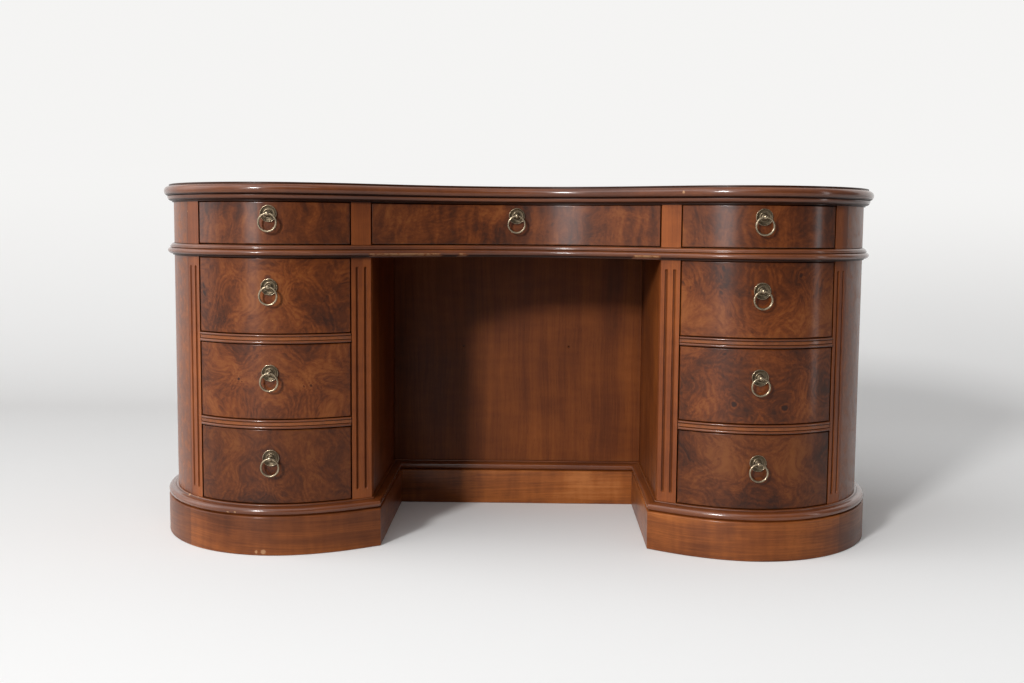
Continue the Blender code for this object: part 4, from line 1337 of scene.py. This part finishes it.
def make_pilasters():
    """The four fluted pilasters."""
    height = SHELL_HIGH.z - SHELL_LOW.z
    half = sizes().flute_width / 2
    bunch = half * np.sin(HOLLOW_TURNS)
    low = FLUTE_END_MARGIN + half
    high = height - low
    up = [[0, height], low + bunch, high + bunch, np.linspace(low, high, FLUTE_ROWS)]
    up = np.unique(np.concatenate(up).round(6))
    for name, side in SIDES.items():
        for kind in ("outer", "inner"):
            ends = upright_ends(kind)
            first, last = ends(0.0)
            middle = (last - first) / 2
            centres = (middle - FLUTE_PITCH / 2, middle + FLUTE_PITCH / 2)
            plain = eased_stations(last - first, UPRIGHT_ARRIS, UPRIGHT_COLUMN_STEP)
            across = np.unique(np.concatenate([plain] + [centre + bunch for centre in centres]).round(6))
            hollow = flute_drop(across, up, centres)
            drop = np.maximum(hollow, eased_drop(across, up, UPRIGHT_ARRIS, ends=False))
            # The flutes are darkened with grime and painted shade, most where they are deepest
            made = worked_board(
                f"fluted_{kind}_{name}", ends, side, across, up, SHELL_LOW.z, drop,
                (0.0, -PILASTER_THICKNESS), finish("pilaster"), upright=True,
                worn=-hollow / hollow.max() * FLUTE_GRIME_AND_SHADE,
            )
            settle(made, f"{kind}_pilaster_{name}", slot="walnut_straight_grain")


def make_rails():
    """The beaded rails between the pedestal drawers, with the dust board behind each."""
    profile = rail_profile()
    for name, side in SIDES.items():
        path = front_path(BAY_INNER + RAIL_END_GAP, BAY_OUTER - RAIL_END_GAP, side, RAIL_COLUMNS)
        for level in (1, 2):
            node = f"rail_{name}_{level}"
            low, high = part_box(node)
            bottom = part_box(f"drawer_front_{name}_{level + 1}")[1].z + DRAWER_REVEAL
            made = swept(f"beaded_{node}", path, profile, bottom, finish("rail"), ends=True)
            settle(made, node, slot="walnut_straight_grain")
            near = min(abs(low.x), abs(high.x))
            run = steps_between(place_at_x(near, BEHIND_PILASTERS), HALF_LENGTH, BOARD_PATH_STEP)
            line = rim(run, BEHIND_PILASTERS - DUST_BOARD_INSET)
            line = line[line[:, 1] < high.y - FIT_GAP]
            plan = [tuple(point) for point in line] + [(line[-1, 0], high.y), (near, high.y)]
            top = bottom + profile[-1][1]
            made = board(
                f"dust_board_{name}_{level}", mirrored(plan, side), top - DUST_BOARD_THICKNESS, top,
                (1, 0, 0), finish("inside"),
            )
            settle(made, slot="walnut_inside")


def make_kneehole():
    """The kneehole's side panels and the modesty panel between them."""
    low = SHELL_LOW.z
    high = SHELL_HIGH.z
    for name, side in SIDES.items():
        near, far = sorted(abs(corner.x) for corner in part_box(f"kneehole_side_{name}"))
        plan = [(x, front_y(x, BEHIND_PILASTERS)) for x in (near, far)]
        plan += [(x, PANEL_HIGH.y) for x in (far, near)]
        plan = mirrored(plan, side)
        made = board(f"kneehole_panel_{name}", plan, low, high, (0, 0, 1), finish("panel"))
        settle(made, f"kneehole_side_{name}", slot="walnut_straight_grain")
    plan = rectangle(PANEL_LOW.x, PANEL_HIGH.x, PANEL_LOW.y, PANEL_HIGH.y)
    made = board("panel_at_back", plan, low, high, (0, 0, 1), finish("panel"))
    for x in SCREW_HOLES:
        start = Vector((x, PANEL_LOW.y - DRILL_RUN_IN, SCREW_HOLE_HEIGHT))
        end = start + Vector((0, DRILL_RUN_IN + SCREW_HOLE_DEPTH, 0))
        drill_through(made, start, end, SCREW_HOLE_RADIUS, SCREW_HOLE_SIDES)
    settle(made, "modesty_panel", slot="walnut_straight_grain")


def make_plinth():
    """The plinth board and the moulding on it, mitred round the kneehole."""
    cap = swept("moulding_on_plinth", notched_path, plinth_cap_profile(), CAP_LOW.z, finish("cap"))
    settle(cap, "plinth_cap")
    plinth = swept("plinth", notched_path, plinth_board_profile(), PLINTH_LOW.z, finish("plinth"))
    settle(plinth, "plinth_board")
    dress("base_board", finish("inside"))


def make_drawer_fronts():
    """The nine drawer fronts: matched burr below, figured walnut in the frieze."""
    ease = sizes().front_arris
    for name in DRAWERS:
        low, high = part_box(f"drawer_front_{name}")
        ends, side = drawer_ends(name)
        first, last = ends(-FRONT_RECESS)
        across = eased_stations(last - first, ease, FRONT_COLUMN_STEP)
        veneer = "figured"
        matched = name in PEDESTAL_DRAWERS
        if matched:
            across = np.unique(np.append(across, (last - first) / 2).round(7))
            veneer = "low_burr" if name in SHADED_LOW_DRAWERS else "burr"
        bottom = low.z + FRONT_SHRINKAGE
        up = eased_stations(high.z - FRONT_SHRINKAGE - bottom, ease, FRONT_ROW_STEP)
        drop = eased_drop(across, up, ease)
        # The fronts' narrow sides, in the gaps round the drawers, are darkened with grime and painted
        # shade
        made = worked_board(
            f"front_{name}", ends, side, across, up, bottom, drop,
            (-FRONT_RECESS, -FRONT_RECESS - FRONT_THICKNESS), finish(veneer), matched=matched, edges=-1.0,
        )
        settle(made, f"drawer_front_{name}", body=f"drawer_{name}", slot="walnut_burr")


def make_drawer_boxes():
    """The oak boxes of the drawers, whose solids are shown as they are."""
    for name in DRAWERS:
        dress(f"drawer_box_{name}", finish("lining"))


def pull_profile(nut_end):
    """The nut, post, rosette, boss, neck and ball of a pull, as radius, distance out and wear."""
    nut = [
        (0.0, -nut_end), (NUT_RADIUS - 0.0006, -nut_end), (NUT_RADIUS, -nut_end + 0.0006),
        (NUT_RADIUS, -nut_end + NUT_THICKNESS), (POST_RADIUS, -nut_end + NUT_THICKNESS),
        (POST_RADIUS, -0.0008), (0.0166, -0.0008),
    ]
    rim_of_dish = arc((0.0163, 0.0028), (0.0008, 0.0008), 0, 160)
    dish = [(0.0149, 0.0023), (0.0140, 0.0015), (0.0128, 0.0009), (0.0112, 0.0006), (0.0100, 0.0006)]
    inner_ring = arc((0.0088, 0.0014), (0.0010, 0.0010), 0, 170)
    boss = arc((0.0030, 0.0014), (0.0042, 0.0034), 0, 80)
    neck = [(0.0031, 0.0056), (0.0029, 0.0075)]
    join = math.degrees(math.asin(neck[-1][0] / BALL_RADIUS))
    ball = arc((0.0, BALL_STAND_OFF), (BALL_RADIUS, BALL_RADIUS), join - 90, 90)
    ball[-1] = (0.0, BALL_STAND_OFF + BALL_RADIUS)
    parts = (
        (nut, 0.0), (rim_of_dish, 0.8), (dish[:2], 0.0), (dish[2:], -1.0), (inner_ring, 0.3),
        (boss, -0.6), (neck, -1.0), (ball, 0.9),
    )
    return [(out, up, wear) for points, wear in parts for out, up in points]


def turned(name, profile, seat, material):
    """A piece turned about an axis along -Y through its seat."""
    angles = np.linspace(0, 2 * math.pi, TURNED_SIDES + 1)
    profile = np.array(profile)
    x = seat.x + np.outer(profile[:, 0], np.cos(angles))
    z = seat.z + np.outer(profile[:, 0], np.sin(angles))
    y = np.broadcast_to((seat.y - profile[:, 1])[:, None], x.shape)
    places = np.stack([x, y, z], axis=-1)
    uv = grain_map(angles * UNROLLED_RADIUS, run_lengths(profile[:, :2]))
    return mesh_from_grids(name, [(places, uv, profile[:, 2:], 0)], [material])


def ring_pivot(name):
    """The point that a ring hangs from, in the eye of its pull."""
    low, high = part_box(f"ring_{name}")
    return Vector(((low.x + high.x) / 2, (low.y + high.y) / 2, high.z - RING_WIRE_BOX))


def make_pulls():
    """The turned pulls with their pierced balls, and the rings that hang in them."""
    reach = Vector((BALL_RADIUS * 2, 0, 0))
    brass = finish("brass")
    for name in DRAWERS:
        pivot = ring_pivot(name)
        seat = pivot + Vector((0, BALL_STAND_OFF, 0))
        nut_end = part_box(f"pull_{name}")[1].y - seat.y
        made = turned(f"rosette_{name}", pull_profile(nut_end), seat, brass)
        drill_through(made, pivot - reach, pivot + reach, BALL_HOLE_RADIUS)
        settle(made, f"pull_{name}", body=f"drawer_{name}", slot="antique_brass")
        values = {"Radius": RING_RADIUS, "Wire": sizes().ring_wire, "Pivot": pivot, "Finish": brass}
        mesh = grown(f"hung_{name}", "ring", bpy.data.meshes.new("seat"), values)
        face_outwards(mesh)
        set_worn(mesh, RING_WEAR)
        ring = add_object(f"hung_{name}", mesh)
        settle(ring, f"ring_{name}", body=f"ring_{name}", slot="antique_brass")


# The stage

def make_floor():
    """A pale floor that curves up into a backdrop."""
    cove = arc((COVE_START, COVE_RADIUS), (COVE_RADIUS, COVE_RADIUS), -90, 0)
    line = [(-FLOOR_REACH, 0.0)] + cove + [(COVE_START + COVE_RADIUS, BACKDROP_HEIGHT)]
    places = [(x, y, up - FLOOR_DROP) for y, up in line for x in (-FLOOR_REACH, FLOOR_REACH)]
    mesh = bpy.data.meshes.new("floor")
    mesh.from_pydata(places, [], grid_faces(len(line), 2, 0))
    mesh.materials.append(finish("floor"))
    add_object("floor", mesh)


def lamp(name, place, target, size, power):
    """A soft rectangular lamp, turned to a target."""
    light = bpy.data.lights.new(name, "AREA")
    light.shape = "RECTANGLE"
    light.size, light.size_y = size
    light.energy = power
    made = linked(name, light)
    made.location = place
    made.rotation_euler = (Vector(target) - Vector(place)).to_track_quat("-Z", "Y").to_euler()


def light_from_round():
    """The dim light from all round, brighter overhead, round the key and on the left.

    It is brightest in a patch a little behind the desk's left end. What the picture and the polish
    show of it is a little brighter than the light that it gives.
    """
    world = bpy.data.worlds.new("fill")
    world.use_nodes = True
    nodes = Nodes(world.node_tree)
    way = nodes.add("ShaderNodeTexCoord", None, None, "Generated")
    height = nodes.part(way, "Z")
    broad, patch, key = (
        nodes.add("ShaderNodeVectorMath", {"operation": "DOT_PRODUCT"}, {0: way, 1: to}, "Value")
        for to in (BROAD_WAY, PATCH_WAY, KEY_WAY)
    )
    overhead = nodes.between(height, 0.45, 0.95) * 0.45 + nodes.between(height, 0.0, 0.4) * 0.06
    high_left = nodes.between(broad, 0.25, 0.75) * nodes.between(height, 0.25, 0.6)
    glow = nodes.between(broad, 0.45, 1.0) * 0.50 + nodes.between(patch, 0.84, 0.99) * 1.4 + overhead
    glow = glow + 0.015 + high_left + nodes.between(key, 0.981, 0.999) * 4.0 + seen_rays(nodes) * 0.12
    background = world.node_tree.nodes["Background"]
    background.inputs["Color"].default_value = SKY_COLOUR
    nodes.put(background.inputs["Strength"], glow)
    bpy.context.scene.world = world


def make_lamps():
    """A soft key from the front left, a long lamp above, a thin strip on the right and dim light."""
    for name, settings in LAMPS.items():
        lamp(name, *settings)
    light_from_round()


def make_camera():
    """The camera at the photograph's angle."""
    yaw, pitch, roll = CAMERA_YAW, CAMERA_PITCH, CAMERA_ROLL
    ahead = Vector((math.sin(yaw) * math.cos(pitch), math.cos(yaw) * math.cos(pitch), -math.sin(pitch)))
    right = Vector((math.cos(yaw), -math.sin(yaw), 0))
    up = right.cross(ahead)
    right, up = (
        math.cos(roll) * right + math.sin(roll) * up,
        -math.sin(roll) * right + math.cos(roll) * up,
    )
    lens = bpy.data.cameras.new("camera")
    lens.lens = CAMERA_LENS
    camera = linked("camera", lens)
    turn = Matrix((right, up, -ahead)).transposed().to_4x4()
    camera.matrix_world = Matrix.Translation(CAMERA_PLACE) @ turn
    bpy.context.scene.camera = camera
    bpy.context.scene.view_settings.view_transform = "Standard"


# The operators, the panel and the run

class DESK_OT_top(bpy.types.Operator):
    """Make the top board and the two rings of moulding"""

    bl_idname = "desk.top"
    bl_label = "Top and moulding rings"

    def execute(self, context):
        make_top()
        make_rings_of_moulding()
        return {"FINISHED"}


class DESK_OT_case(bpy.types.Operator):
    """Make the curved walls, stiles, pilasters and rails"""

    bl_idname = "desk.case"
    bl_label = "Case"

    def execute(self, context):
        make_walls()
        make_stiles()
        make_pilasters()
        make_rails()
        return {"FINISHED"}


class DESK_OT_kneehole(bpy.types.Operator):
    """Make the panels of the kneehole"""

    bl_idname = "desk.kneehole"
    bl_label = "Kneehole"

    def execute(self, context):
        make_kneehole()
        return {"FINISHED"}


class DESK_OT_plinth(bpy.types.Operator):
    """Make the plinth and its moulding"""

    bl_idname = "desk.plinth"
    bl_label = "Plinth"

    def execute(self, context):
        make_plinth()
        return {"FINISHED"}


class DESK_OT_drawers(bpy.types.Operator):
    """Make the drawer fronts and line the boxes"""

    bl_idname = "desk.drawers"
    bl_label = "Drawers"

    def execute(self, context):
        make_drawer_fronts()
        make_drawer_boxes()
        return {"FINISHED"}


class DESK_OT_pulls(bpy.types.Operator):
    """Make the brass pulls and their rings"""

    bl_idname = "desk.pulls"
    bl_label = "Ring pulls"

    def execute(self, context):
        make_pulls()
        return {"FINISHED"}


class DESK_OT_stage(bpy.types.Operator):
    """Make the floor, the lamps and the camera"""

    bl_idname = "desk.stage"
    bl_label = "Stage"

    def execute(self, context):
        make_floor()
        make_lamps()
        make_camera()
        return {"FINISHED"}


OPERATORS = (
    DESK_OT_top, DESK_OT_case, DESK_OT_kneehole, DESK_OT_plinth, DESK_OT_drawers, DESK_OT_pulls,
    DESK_OT_stage,
)


class DESK_PT_panel(bpy.types.Panel):
    """The desk's sizes, colours and making steps."""

    bl_idname = "DESK_PT_panel"
    bl_label = "Kidney desk"
    bl_space_type = "VIEW_3D"
    bl_region_type = "UI"
    bl_category = "Desk"

    def draw(self, context):
        for group in (context.scene.kidney_desk_sizes, context.scene.kidney_desk_colours):
            column = self.layout.column(align=True)
            for label in group.__annotations__:
                column.prop(group, label)
        for operator in OPERATORS:
            self.layout.operator(operator.bl_idname)


CLASSES = (DeskSizes, DeskColours, *OPERATORS, DESK_PT_panel)


def register():
    """Add the classes and their settings to Blender."""
    for made in CLASSES:
        bpy.utils.register_class(made)
    bpy.types.Scene.kidney_desk_sizes = PointerProperty(type=DeskSizes)
    bpy.types.Scene.kidney_desk_colours = PointerProperty(type=DeskColours)


def unregister():
    """Take them out again."""
    del bpy.types.Scene.kidney_desk_sizes
    del bpy.types.Scene.kidney_desk_colours
    for made in reversed(CLASSES):
        bpy.utils.unregister_class(made)


def main():
    """Make the desk and its stage."""
    register()
    bpy.ops.desk.top()
    bpy.ops.desk.case()
    bpy.ops.desk.kneehole()
    bpy.ops.desk.plinth()
    bpy.ops.desk.drawers()
    bpy.ops.desk.pulls()
    bpy.ops.desk.stage()


if __name__ == "__main__":
    main()
